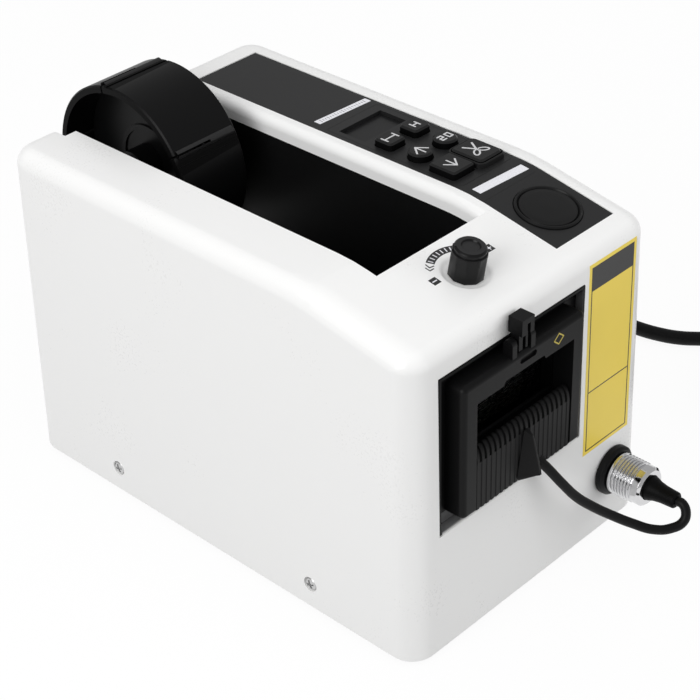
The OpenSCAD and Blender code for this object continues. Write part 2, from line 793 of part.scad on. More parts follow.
module start_switch() {
    floor_d = panel_sink + panel_t + slide_gap + 2.4 + key_travel + 0.1;
    r = start_d / 2 + start_collar + 1.2;
    color(dark) on_deck(panel_x, start_y) translate([0, 0, -floor_d - 2]) difference() {
        cylinder(r = r + 2, h = floor_d + 2 - wall - 2 * run_gap);
        translate([0, 0, 2]) cylinder(r = r, h = floor_d);
    }
}

// Pressure knob and its spring, all square to the front deck

yoke_top = press_depth - press_r - 2.6;
stem_end = yoke_top - press_lift - 0.5;
stem_collar = wall + slide_gap + 1.5;
module pressure_knob() {
    lift = slide_gap - knob_sink;
    cap = 2.2;
    color(black) on_deck(knob_x, knob_y) {
        translate([0, 0, lift]) intersection() {
            cylinder(r = knob_r, h = knob_h - cap, $fn = knob_faces);
            cylinder(r1 = knob_r, r2 = knob_r - 0.2, h = knob_h - cap);
        }
        translate([0, 0, lift + knob_h - cap]) rotate_extrude() polygon([[0, 0], [knob_r - 0.8, 0],
            [knob_r - 0.8, cap - 0.7], [knob_r - 1.5, cap], [knob_r - 3.1, cap], [knob_r - 3.5, cap - 0.6],
            [0, cap - 0.6]]);
        rotate([0, 0, 135]) translate([knob_r - 1.2, 0, lift + knob_h - cap]) cylinder(r = 0.9, h = cap);
        translate([0, 0, -stem_end]) cylinder(d = stem_d, h = stem_end + lift + 0.5);
        translate([0, 0, -stem_collar]) cylinder(d = stem_d + 4, h = 1.5);
    }
}

// Coil spring round the stem, between its collar and the yoke, drawn as a sleeve with its turns
module pressure_spring() {
    r_in = stem_d / 2 + slide_gap;
    wire = 1;
    turns = 7;
    l = yoke_top - stem_collar;
    step = l / turns;
    color(steel) on_deck(knob_x, knob_y) translate([0, 0, -yoke_top]) rotate_extrude() polygon(concat(
        [[r_in, 0]], [for (i = [0:turns - 1]) each [[r_in + 0.6 * wire, i * step],
            [r_in + wire, (i + 0.3) * step], [r_in + wire, (i + 0.6) * step]]],
        [[r_in + 0.6 * wire, l], [r_in, l]]));
}

// Saddle over the pressure roller, guided between the frame plates
module pressure_yoke() {
    x0 = hole_mid - frame_in + slide_gap;
    x1 = hole_mid + frame_in - slide_gap;
    cheek = 2;
    color(steel) on_deck(0, knob_y) difference() {
        union() {
            box([x0, -5, -yoke_top - 2], [x1, 5, -yoke_top]);
            for (x = [x0, x1 - cheek])
                box([x, -5, -press_depth - 3], [x + cheek, 5, -yoke_top]);
        }
        rod_x(x0 - over, x1 + over, 0, -press_depth, 1.5 + run_gap);
    }
}

module pressure_roller() {
    color(steel) on_deck(0, knob_y) {
        rod_x(hole_mid - roller_l / 2, hole_mid + roller_l / 2, 0, -press_depth, press_r);
        rod_x(hole_mid - frame_in + slide_gap, hole_mid + frame_in - slide_gap, 0, -press_depth, 1.5);
    }
}

// Feed roller, shaft, bushes and gears

module feed_roller() {
    color(dark) difference() {
        rod_x(hole_mid - roller_l / 2, hole_mid + roller_l / 2, feed_y, feed_z, feed_r);
        rod_x(hole_mid - roller_l, hole_mid + roller_l, feed_y, feed_z, shaft_d / 2);
    }
}

bush_t = 1.2;
module feed_shaft() {
    color(steel) rod_x(frame_x0 - bush_t - 1, gear_x0 + gear_w, feed_y, feed_z, shaft_d / 2);
}

module feed_bushes() {
    color(brass) for (s = [0, 1]) {
        x0 = s == 0 ? frame_x0 - 0.9 : frame_x1 - plate_t;
        inner_x = s == 0 ? frame_x0 + plate_t : frame_x1 - plate_t - bush_t;
        difference() {
            union() {
                rod_x(x0, x0 + plate_t + 0.9, feed_y, feed_z, shaft_d / 2 + 1.3);
                rod_x(inner_x, inner_x + bush_t, feed_y, feed_z, shaft_d / 2 + 2.4);
            }
            rod_x(x0 - 5, x0 + 10, feed_y, feed_z, shaft_d / 2 + run_gap);
        }
    }
}

// Spur gear about X: straight-flanked teeth on a root disc
module spur_gear(teeth, x0, w, bore_r, y, z, turn) {
    pitch = gear_m * teeth / 2;
    root = pitch - 1.2 * gear_m;
    tip = pitch + 0.95 * gear_m;
    step = 360 / teeth;
    translate([x0, y, z]) rotate([90, 0, 90]) linear_extrude(w) difference() {
        union() {
            circle(root);
            for (i = [0:teeth - 1]) rotate(turn + i * step) polygon([
                [root - 0.3, -0.3 * step * PI * root / 180], [pitch, -0.225 * step * PI * pitch / 180],
                [tip, -0.11 * step * PI * tip / 180], [tip, 0.11 * step * PI * tip / 180],
                [pitch, 0.225 * step * PI * pitch / 180], [root - 0.3, 0.3 * step * PI * root / 180]]);
        }
        circle(bore_r);
    }
}

module feed_gear() {
    color(white) spur_gear(gear_teeth, gear_x0, gear_w, shaft_d / 2, feed_y, feed_z, 90);
}

module motor_pinion() {
    color(brass) spur_gear(pinion_teeth, gear_x0, gear_w, 1.2, feed_y, pinion_z, 90 + 180 / pinion_teeth);
    color(steel) rod_x(gear_x0, bracket_x0 + plate_t + 1, feed_y, pinion_z, 1.2);
}

// Motor can with a front boss, a bore for its shaft and a rear cap
module motor(y, z, r, bore_r) {
    x0 = bracket_x0 + plate_t;
    translate([x0, y, z]) rotate([0, 90, 0]) difference() {
        rotate_extrude() polygon([[0, 0], [r - 0.8, 0], [r, 0.8], [r, motor_l - 5], [r - 1.5, motor_l - 4],
            [r - 1.5, motor_l], [0, motor_l]]);
        translate([0, 0, -over]) cylinder(r = bore_r, h = 6);
    }
}

module feed_motor() {
    color(steel) motor(feed_y, pinion_z, feed_motor_r, 1.2 + run_gap);
}

module cutter_motor() {
    color(steel) motor(crank_y, crank_z, cutter_motor_r, 2 + run_gap);
}

module motor_bracket() {
    x1 = bracket_x0 + plate_t;
    y0 = frame_y0 + 0.3;
    y1 = feed_y + feed_motor_r + 3;
    color(steel) difference() {
        union() {
            plate_x(bracket_x0, x1) polygon([[y0, base_top], [y1, base_top], [y1, pinion_z + feed_motor_r],
                [crank_y + cutter_motor_r, crank_z + cutter_motor_r], [y0, crank_z + cutter_motor_r]]);
            box([bracket_x0, y0 + 12, base_top], [x1 + foot_flange, y1 - 4, base_top + plate_t]);
        }
        rod_x(bracket_x0 - over, x1 + over, feed_y, pinion_z, 3);
        rod_x(bracket_x0 - over, x1 + over, crank_y, crank_z, 3);
    }
}

// Frame plates of the feed and cutter unit

module frame_plate(x0, flange_x0, rail_x0, tab_slot) {
    color(steel) difference() {
        union() {
            plate_x(x0, x0 + plate_t) polygon([[frame_y0, base_top], [frame_y1, base_top], [frame_y1, frame_top - 8],
                [frame_y1 - 8, frame_top], [frame_y0, frame_top]]);
            box([flange_x0, frame_y0 + 6, base_top], [flange_x0 + foot_flange + plate_t, frame_y1 - 6,
                base_top + plate_t]);
            for (y = [frame_y0, carriage_y1 + slide_gap + 0.1])
                box([rail_x0, y, blade_rest - stroke], [rail_x0 + 2.2, y + 1.9, frame_top - 2]);
        }
        rod_x(x0 - over, x0 + plate_t + over, feed_y, feed_z, shaft_d / 2 + 1.3);
        if (tab_slot) box([x0 - over, carriage_y0 - seat_gap, pin_rest_z - 3.5 - stroke - over],
            [x0 + plate_t + over, carriage_y1 + seat_gap, pin_rest_z + 3.5 + over]);
        rail_cut = fixed_y0 - 0.2;
        box([rail_x0 - over, rail_cut, 0], [rail_x0 + 2.2 + over, rail_cut + 2.4, path_z(fixed_y0)]);
    }
}

module frame_left() {
    frame_plate(frame_x0, frame_x0 - foot_flange, frame_x0 + plate_t - 0.05, false);
}

module frame_right() {
    frame_plate(frame_x1 - plate_t, frame_x1 - plate_t - foot_flange, frame_x1 - plate_t - 2.15, true);
}

// Cutter: a carriage that slides down past the fixed blade, driven by a crank pin in a level slot

module crank_disc() {
    pin_y = crank_y - crank_r * cos(swing);
    color(steel) {
        rod_x(disc_x0, disc_x0 + disc_t, crank_y, crank_z, crank_r + 3);
        rod_x(ear_x0 - 0.3, disc_x0 + 0.5, pin_y, pin_rest_z, crank_pin / 2);
        rod_x(disc_x0, bracket_x0 + plate_t + 4, crank_y, crank_z, 2);
    }
}

module blade_carriage() {
    x0 = hole_mid - frame_in + slide_gap;
    x1 = hole_mid + frame_in - slide_gap;
    slot = crank_pin / 2 + 0.3;
    slot_y0 = crank_y - crank_r - 0.4;
    slot_y1 = crank_y - crank_r * cos(swing) + 0.4;
    color(steel) {
        box([x0, carriage_y0, blade_rest + 4], [x1, carriage_y1, frame_top - 3 - stroke / 4]);
        box([x1 - 1, carriage_y0, pin_rest_z - 3.5], [ear_x0 + ear_t, carriage_y1, pin_rest_z + 3.5]);
        difference() {
            plate_x(ear_x0, ear_x0 + ear_t) translate([(carriage_y0 + slot_y1 + 4.5) / 2, pin_rest_z])
                round_rect(slot_y1 + 4.5 - carriage_y0, 2 * slot + 4, 2);
            box([ear_x0 - over, slot_y0, pin_rest_z - slot], [ear_x0 + ear_t + over, slot_y1, pin_rest_z + slot]);
            for (y = [slot_y0, slot_y1]) rod_x(ear_x0 - over, ear_x0 + ear_t + over, y, pin_rest_z, slot);
        }
    }
}

blade_l = roller_l + 1;
blade_h = 13;
module moving_blade() {
    color(steel) plate_x(hole_mid - blade_l / 2, hole_mid + blade_l / 2)
        polygon([[carriage_y1, blade_rest + 1], [carriage_y1 + blade_t, blade_rest],
            [carriage_y1 + blade_t, blade_rest + blade_h], [carriage_y1, blade_rest + blade_h]]);
}

module fixed_blade() {
    top = path_z(fixed_y0) - 1;
    color(steel) plate_x(hole_mid - frame_in, hole_mid + frame_in)
        polygon([[fixed_y0, top], [fixed_y0 + 1.6, top - 1], [fixed_y0 + 1.6, top - 8], [fixed_y0 + 5, top - 8],
            [fixed_y0 + 5, top - 16], [fixed_y0, top - 16]]);
}

// Front bezel, guard and comb

module front_bezel() {
    fit = 0.15;
    gap_x = guard_post - 1;
    color(black) difference() {
        box([hole_x + fit, front_y + lean(hole_z + hole_h) - 0.3, hole_z + fit],
            [hole_x + hole_w - fit, bezel_back, hole_z + hole_h - fit]);
        box([hole_x + fit + bezel_t, front_y - over, hole_z + fit + bezel_t],
            [hole_x + hole_w - fit - bezel_t, guard_back, hole_z + hole_h - fit - bezel_t]);
        box([guard_x0 + gap_x, guard_back - over, comb_top - 4],
            [guard_x1 - gap_x, bezel_back + over, window_z1 + 2]);
    }
}

// Guard frame: rounded front edges, and a window whose top edge is raised in the middle
module outlet_guard() {
    mid_x = (guard_x0 + guard_x1) / 2;
    mid_z = (guard_z0 + guard_z1) / 2;
    h = guard_z1 - guard_z0;
    edge = 2.2;
    step = 1.6;
    lug_w = 2.4;
    color(dark) difference() {
        union() {
            hull() {
                for (sx = [-1, 1], sz = [-1, 1])
                    translate([mid_x + sx * (guard_w / 2 - edge), 0, mid_z + sz * (h / 2 - edge)]) {
                        translate([0, guard_front + edge, 0]) sphere(edge, $fn = 32);
                        rod_y(guard_back - over, guard_back, 0, 0, edge, $fn = 32);
                    }
            }
            for (s = [-1, 1]) plate_x(latch_x + s * (latch_w / 2 + 0.5 + lug_w / 2) - lug_w / 2,
                latch_x + s * (latch_w / 2 + 0.5 + lug_w / 2) + lug_w / 2) {
                translate([latch_pin_y, latch_pin_z]) circle(2.2);
                translate([latch_pin_y - 2.2, guard_z1 - 1]) square([4.4, latch_pin_z - guard_z1 + 1]);
            }
        }
        plate_y(guard_front - over, guard_back + over) polygon([[window_x0, guard_z0 - over],
            [window_x0, window_z1], [window_x0 + 14, window_z1], [window_x0 + 15, window_z1 + step],
            [window_x1 - 17, window_z1 + step], [window_x1 - 16, window_z1], [window_x1, window_z1],
            [window_x1, guard_z0 - over]]);
        rod_x(latch_x - 12, latch_x + 12, latch_pin_y, latch_pin_z, 1 + run_gap);
        plate_y(guard_front - over, guard_front + 1) translate([mid_x + 1, guard_z1 - 3.4]) round_rect(9, 2.4, 1.1);
    }
}

latch_x = hole_mid - 1.2;
latch_w = 6.6;
// Thumb latch on the guard: a block on a short arm, on a pin between two lugs
module guard_latch() {
    top = guard_z1 + 14;
    wide_prong = [latch_x - 2.4, latch_x - 0.4];
    slim_prong = [latch_x + 1.2, latch_x + 2.4];
    color(dark) {
        difference() {
            box([latch_x - latch_w / 2, guard_front - 1.2, top - 6.4],
                [latch_x + latch_w / 2, guard_front + 5, top]);
            box([wide_prong[1], guard_front - 2, top - 7], [slim_prong[0], guard_front + 2, top - 2.2]);
        }
        for (p = [wide_prong, slim_prong])
            box([p[0], latch_pin_y - 1.8, guard_z1 + 0.5], [p[1], latch_pin_y + 1.8, top - 6]);
        rod_x(latch_x - latch_w / 2 - 0.5 - 2.4, latch_x + latch_w / 2 + 0.5 + 2.4, latch_pin_y, latch_pin_z, 1);
    }
}

// Side view of the comb, moved in by t: upright front, round crest, sloping back
module comb_side(t) {
    back = guard_back - 0.1;
    front = guard_front + 0.3 + t;
    r = crest_r - t;
    top = comb_z0 + comb_h;
    translate([front, comb_z0]) square([back - front, comb_h]);
    intersection() {
        translate([front + r, top]) circle(r);
        translate([front, top]) square([r, r]);
    }
    translate([front + r - 0.01, top - 0.01]) square([max(0.1, back - front - r), r]);
}

module outlet_comb() {
    x0 = window_x0 + 0.1;
    x1 = window_x1 - 0.1;
    pitch = (x1 - x0) / comb_ribs;
    rib = 0.55 * pitch;
    color(dark) difference() {
        union() {
            plate_x(x0, x1) comb_side(groove_d);
            for (i = [0:comb_ribs - 1]) plate_x(x0 + (i + 0.5) * pitch - rib / 2, x0 + (i + 0.5) * pitch + rib / 2)
                comb_side(0);
        }
        on_gland() translate([0, 0, -gland_l]) cylinder(r = gland_r + 0.1, h = 2 * gland_l + 0.1);
    }
}

// Places children on the sensor's gland, with their z along the cord
module on_gland() {
    translate(gland_end) rotate([0, acos(gland_way[2]), atan2(gland_way[1], gland_way[0])]) children();
}

// Optical sensor: a pointed nose on the comb, with the cord's gland at its right foot
module exit_sensor() {
    face = guard_front + 0.3;
    color(black) {
        hull() {
            translate([hole_mid + 0.2, face - 0.2, comb_z0 + comb_h]) cube([0.8, 0.2, 0.8], center = true);
            translate([hole_mid - 3, face - 0.2, comb_z0 + 2]) cube([0.8, 0.2, 0.8], center = true);
            translate([hole_mid + 9.6, face - 0.2, comb_z0 - 0.2]) cube([0.8, 0.2, 0.8], center = true);
            translate([hole_mid + 3.2, face - 5.2, comb_z0 + 2.4]) cube([0.8, 0.8, 0.8], center = true);
        }
        on_gland() cylinder(r = gland_r, h = gland_l);
    }
}

// Sensor plug and cord

module sensor_socket() {
    barrel_r = 6;
    barrel_l = 10;
    dish = flange_t - 1.2;
    color(black) translate([socket_x, front_y, socket_z]) rotate([90, 0, 0]) rotate_extrude() polygon([
        [0, -barrel_l], [barrel_r, -barrel_l], [barrel_r, 0], [flange_r, 0], [flange_r, flange_t - 1],
        [flange_r - 1, flange_t], [nut_r - 2, flange_t], [nut_r - 2, dish], [0, dish]]);
}

// Chrome nut with turned ridges along its length
module coupling_nut() {
    ridge = nut_l * 0.55 / nut_ridges;
    body = nut_r - 0.9;
    color(steel) translate([socket_x, nut_y0, socket_z]) rotate([90, 0, 0]) rotate_extrude() polygon(concat(
        [[5.2, 0], [nut_r - 0.5, 0], [nut_r, 0.5], [nut_r, 1.6], [body, 2]],
        [for (i = [0:nut_ridges - 1]) each [[body, 2.2 + (i + 0.15) * ridge], [nut_r, 2.2 + (i + 0.35) * ridge],
            [nut_r, 2.2 + (i + 0.75) * ridge], [body, 2.2 + (i + 0.95) * ridge]]],
        [[body, nut_l - 4.2], [nut_r - 0.3, nut_l - 3.8], [nut_r - 0.3, nut_l - 1], [nut_r - 1.3, nut_l],
            [5.2, nut_l]]));
}

// Moulded boot that fills the nut and tapers to the cord
module plug_boot() {
    color(black) translate([socket_x, nut_y0, socket_z]) rotate([90, 0, 0]) rotate_extrude() polygon([[0, 1],
        [4.9, 1], [4.9, nut_l + 1], [4.1, nut_l + 3.2], [3.6, nut_l + boot_l / 2], [3.3, nut_l + boot_l - 0.6],
        [2.7, nut_l + boot_l], [0, nut_l + boot_l]]);
}

module sensor_cord() {
    color(black) tube(sensor_route, sensor_cord_d / 2, 8);
}

// Electronics

supply_gap = 5.8;
supply_side = 11.5;
supply_rear = 16;
supply_l = 36;
supply_x0 = well_x1 + liner_t + supply_gap;
supply_x1 = side_x - supply_side;
supply_y1 = rear_y - supply_rear;
supply_y0 = supply_y1 - supply_l;
module power_supply() {
    tray_h = 14;
    case_h = 40;
    step = 4;
    color(dark) {
        box([supply_x0, supply_y0, base_top], [supply_x1, supply_y1, base_top + tray_h]);
        box([supply_x0 + step, supply_y0 + 0.8 * step, base_top + tray_h - over],
            [supply_x1 - step, supply_y1 - 0.8 * step, base_top + case_h]);
    }
}

// Main board on four posts, between the motors and the power supply
board_side = 7.5;
board_front = 21;
module main_board() {
    x0 = supply_x0 + 2;
    x1 = side_x - board_side;
    y0 = well_y0 + board_front;
    y1 = supply_y0 - supply_gap;
    post_h = 7;
    post_r = 2.5;
    inset = 4;
    z1 = base_top + post_h + board_t;
    capacitor_r = 3;
    capacitor_gap = (x1 - x0 - 2 * inset) / 3;
    chip = [12, 10, 3];
    terminal = [5, 24, 8];
    color(green) {
        box([x0, y0, base_top + post_h], [x1, y1, z1]);
        for (x = [x0 + inset, x1 - inset], y = [y0 + inset, y1 - inset])
            translate([x, y, base_top]) cylinder(r = post_r, h = post_h + board_t / 2);
        for (i = [0:2]) translate([x0 + inset + (i + 0.5) * capacitor_gap, y0 + 20, z1 - board_t / 2])
            cylinder(r = capacitor_r, h = 4 * capacitor_r);
        translate([x0 + inset, y0 + 36, z1 - board_t / 2]) cube(chip);
        translate([x1 - inset - terminal[0], y0 + 34, z1 - board_t / 2]) cube(terminal);
    }
}

// Rocker switch at the rear

module switch_frame() {
    wall_y = rear_y - lean(switch_z + switch_l);
    color(black) difference() {
        union() {
            box([bush_x - switch_w / 2 - 1.5, rear_y, switch_z - switch_l / 2 - 1.5],
                [bush_x + switch_w / 2 + 1.5, rear_y + 1.6, switch_z + switch_l / 2 + 1.5]);
            box([bush_x - switch_w / 2 + 0.1, wall_y - 14, switch_z - switch_l / 2 + 0.1],
                [bush_x + switch_w / 2 - 0.1, rear_y + 0.5, switch_z + switch_l / 2 - 0.1]);
        }
        box([bush_x - switch_w / 2 + 1.5, wall_y - 11, switch_z - switch_l / 2 + 1.5],
            [bush_x + switch_w / 2 - 1.5, rear_y + 2, switch_z + switch_l / 2 - 1.5]);
        rod_x(bush_x - switch_w, bush_x + switch_w, rocker_y, switch_z, 1 + run_gap);
    }
}

rocker_y = rear_y - 2;
rocker_tilt = 8;
module power_switch() {
    w = switch_w - 3 - 2 * slide_gap;
    half = switch_l / 2 - 2.3;
    color(dark) {
        translate([bush_x, rocker_y, switch_z]) rotate([rocker_tilt, 0, 0]) plate_x(-w / 2, w / 2)
            polygon([[-2, -half + 1], [1, -half], [4.2, -half], [3, 0], [4.2, half], [1, half], [-2, half - 1]]);
        rod_x(bush_x - switch_w / 2 + 0.3, bush_x + switch_w / 2 - 0.3, rocker_y, switch_z, 1);
    }
}

// Mains lead

// Strain relief: flange, then a tapered sleeve with grooves
module cord_bush() {
    tip = lead_d / 2 + 1.2;
    root = 6;
    color(black) translate([bush_x, rear_y, bush_z]) rotate([-90, 0, 0]) rotate_extrude() polygon(concat(
        [[0, -9], [6, -9], [6, 0], [9, 0], [9, 2], [8, 3], [root, 3]],
        [for (i = [0:3]) let (y0 = 5 + i * (bush_l - 8) / 4, y1 = y0 + (bush_l - 8) / 8,
            r0 = root + (tip - root) * y0 / bush_l, r1 = root + (tip - root) * y1 / bush_l)
            each [[r0, y0], [r0 - 0.7, y0 + 0.3], [r1 - 0.7, y1 - 0.3], [r1, y1]]],
        [[tip, bush_l], [0, bush_l]]));
}

// Stored lead: spirals in on the table, climbs a layer and spirals out again
function coil_climb(u) = let (s = min(1, max(0, (u - coil_turns / 2 + 0.25) / 0.5))) (1 - cos(180 * s)) / 2;
function coil_point(u) = let (r = coil_inner + coil_pitch * abs(u - coil_turns / 2), a = coil_angle - 360 * u)
    [coil_mid[0] + r * cos(a), coil_mid[1] + r * sin(a), coil_z + (lead_d + coil_gap) * coil_climb(u)];
coil_rings = 24;
coil_loops = [for (i = [0:coil_turns * coil_rings]) coil_point(i / coil_rings)];
coil_last = coil_loops[len(coil_loops) - 1];
coil_way = [coil_heading[0], coil_heading[1], 0];
coil_path = concat([coil_loops[0] - lead_d * coil_way], coil_loops, [coil_last + lead_d * coil_way]);
function path_gap(p, skip) = min([for (i = [0:len(p) - 1], j = [i + skip:1:len(p) - 1]) norm(p[i] - p[j])]);
echo(coil_self_gap = path_gap(coil_loops, coil_rings / 2) - lead_d);

// The free lead meets the coil square to its ends
coil_in = coil_path[0];
coil_out = coil_path[len(coil_path) - 1];
module power_cord() {
    color(black) tube(concat([bush_end, bush_end + [0, lead_d, 0]], lead_loop,
        [coil_in - lead_d * coil_way, coil_in]), lead_d / 2, 10);
}

module power_cord_coil() {
    color(black) tube(coil_path, lead_d / 2, 6);
}

module power_cord_tail() {
    color(black) tube(concat([coil_out, coil_out + lead_d * coil_way], tail_loop,
        [tail_end + [0, lead_d, 0], tail_end]), lead_d / 2, 10);
}

// Tie round the bundle of loops
module cord_tie() {
    tie_angle = 200;
    t = 0.7;
    w = 7;
    in_r = coil_inner - lead_d / 2 - 0.6;
    out_r = coil_outer + lead_d / 2 + 0.6;
    top = coil_z + coil_pitch + lead_d / 2 + 0.4;
    color(dark) translate([coil_mid[0], coil_mid[1], 0]) rotate([0, 0, tie_angle]) difference() {
        box([in_r - t, -w / 2, 0], [out_r + t, w / 2, top + t]);
        box([in_r, -w, t], [out_r, w, top]);
    }
}

// Moulded plug with two flat blades and an earth pin
module mains_plug() {
    grip_l = 12;
    face = 36;
    body = [25, 21];
    pin = [16.5, 1.5, 6.3];
    pin_spread = 12.7;
    earth_d = 4.8;
    earth_drop = 6.5;
    color(black) translate(tail_end) rotate([0, 0, -90]) {
        rotate([0, 90, 0]) rotate_extrude() polygon([[0, 0], [4.2, 0], [5, grip_l], [0, grip_l]]);
        hull() {
            translate([grip_l, 0, 0]) cube([1, 9, 9], center = true);
            translate([(grip_l + face) / 2 - 1, 0, 0]) cube([1, body[0] - 1, body[1] - 1], center = true);
            translate([face - 0.5, 0, 0]) cube([1, body[0], body[1]], center = true);
        }
    }
    color(steel) translate(tail_end) rotate([0, 0, -90]) {
        for (s = [-1, 1]) translate([face, s * pin_spread / 2 - pin[1] / 2, -0.5]) cube(pin);
        translate([face, 0, -earth_drop]) rotate([0, 90, 0]) cylinder(d = earth_d, h = pin[0] + 1.5);
    }
}

housing();
base_plate();
rubber_feet();
housing_screws();
well_liner();
axle_cheeks();
wheel_axle();
tape_wheel();
guide_roller();
control_panel();
display_window();
display_module();
keypad_board();
key_long_unit();
key_short_unit();
key_up();
key_preset();
key_down();
key_cut();
start_button();
start_switch();
pressure_knob();
pressure_spring();
pressure_yoke();
pressure_roller();
feed_roller();
feed_shaft();
feed_bushes();
feed_gear();
motor_pinion();
feed_motor();
frame_left();
frame_right();
motor_bracket();
cutter_motor();
crank_disc();
blade_carriage();
moving_blade();
fixed_blade();
front_bezel();
outlet_guard();
outlet_comb();
guard_latch();
exit_sensor();
sensor_socket();
coupling_nut();
plug_boot();
sensor_cord();
main_board();
power_supply();
power_switch();
switch_frame();
cord_bush();
power_cord();
power_cord_coil();
power_cord_tail();
cord_tie();
mains_plug();
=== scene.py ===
"""Looks of an automatic desk tape dispenser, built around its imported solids."""

import logging
import math
from dataclasses import dataclass, field
from enum import Enum
from itertools import product
from typing import Callable, ClassVar, Iterable, Sequence

import bmesh
import bpy
from mathutils import Matrix, Vector
from mathutils.bvhtree import BVHTree


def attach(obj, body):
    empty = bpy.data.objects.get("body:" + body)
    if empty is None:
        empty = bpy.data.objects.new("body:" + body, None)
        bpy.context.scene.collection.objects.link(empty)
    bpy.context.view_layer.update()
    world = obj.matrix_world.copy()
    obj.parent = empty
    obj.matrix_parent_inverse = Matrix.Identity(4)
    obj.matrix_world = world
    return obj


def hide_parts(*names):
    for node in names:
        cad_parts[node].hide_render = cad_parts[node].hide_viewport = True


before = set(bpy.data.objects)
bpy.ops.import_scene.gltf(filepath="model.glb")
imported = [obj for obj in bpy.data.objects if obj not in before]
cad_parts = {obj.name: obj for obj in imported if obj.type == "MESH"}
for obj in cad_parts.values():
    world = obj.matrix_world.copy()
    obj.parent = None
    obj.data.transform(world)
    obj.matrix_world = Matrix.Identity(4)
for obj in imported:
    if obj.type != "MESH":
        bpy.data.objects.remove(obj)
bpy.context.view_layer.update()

LOG = logging.getLogger("tape_dispenser")
MM = 0.001
MACHINE = "machine"
Colour = tuple[float, float, float]
Point = tuple[float, float, float]
Flat = tuple[float, float]
Box = tuple[float, float, float, float]
Corners = list[bmesh.types.BMVert]

RIGHT: Point = (1.0, 0.0, 0.0)
REAR: Point = (0.0, 1.0, 0.0)
UP: Point = (0.0, 0.0, 1.0)
DOWN: Point = (0.0, 0.0, -1.0)


def metres(point: Sequence[float]) -> Vector:
    """Turns a point in millimetres into a vector in metres."""
    return Vector(point) * MM


@dataclass(frozen=True)
class Deck:
    """The falling front deck of the housing; lengths in millimetres, its fall in degrees."""

    front_y: float = -106.0
    bend_y: float = -54.3
    top_z: float = 140.5
    fall: float = 10.6

    def height(self, y: float) -> float:
        """Height of the deck's plane at y."""
        return self.top_z - (self.bend_y - y) * math.tan(math.radians(self.fall))

    def normal(self) -> Vector:
        """Direction square to the deck."""
        a = math.radians(self.fall)
        return Vector((0.0, -math.sin(a), math.cos(a)))


DECK = Deck()


class Sock:
    """A shader socket that takes part in Python expressions."""

    def __init__(self, shader: "Shader", socket: bpy.types.NodeSocket) -> None:
        """Keeps the socket and the shader that it belongs to."""
        self.shader = shader
        self.socket = socket

    def _math(self, operation: str, first: "Sock | float", second: "Sock | float") -> "Sock":
        """Adds one Math node."""
        return self.shader.node("ShaderNodeMath", {"operation": operation}, {0: first, 1: second})

    def __add__(self, other: "Sock | float") -> "Sock":
        """Sum."""
        return self._math("ADD", self, other)

    def __radd__(self, other: float) -> "Sock":
        """Sum with a number first."""
        return self._math("ADD", other, self)

    def __sub__(self, other: "Sock | float") -> "Sock":
        """Difference."""
        return self._math("SUBTRACT", self, other)

    def __rsub__(self, other: float) -> "Sock":
        """Difference with a number first."""
        return self._math("SUBTRACT", other, self)

    def __mul__(self, other: "Sock | float") -> "Sock":
        """Product."""
        return self._math("MULTIPLY", self, other)

    def __rmul__(self, other: float) -> "Sock":
        """Product with a number first."""
        return self._math("MULTIPLY", other, self)

    def weigh(self, other: "Sock", share: float) -> "Sock":
        """Mean of two values, in which this one has the given share."""
        return self * share + other * (1.0 - share)


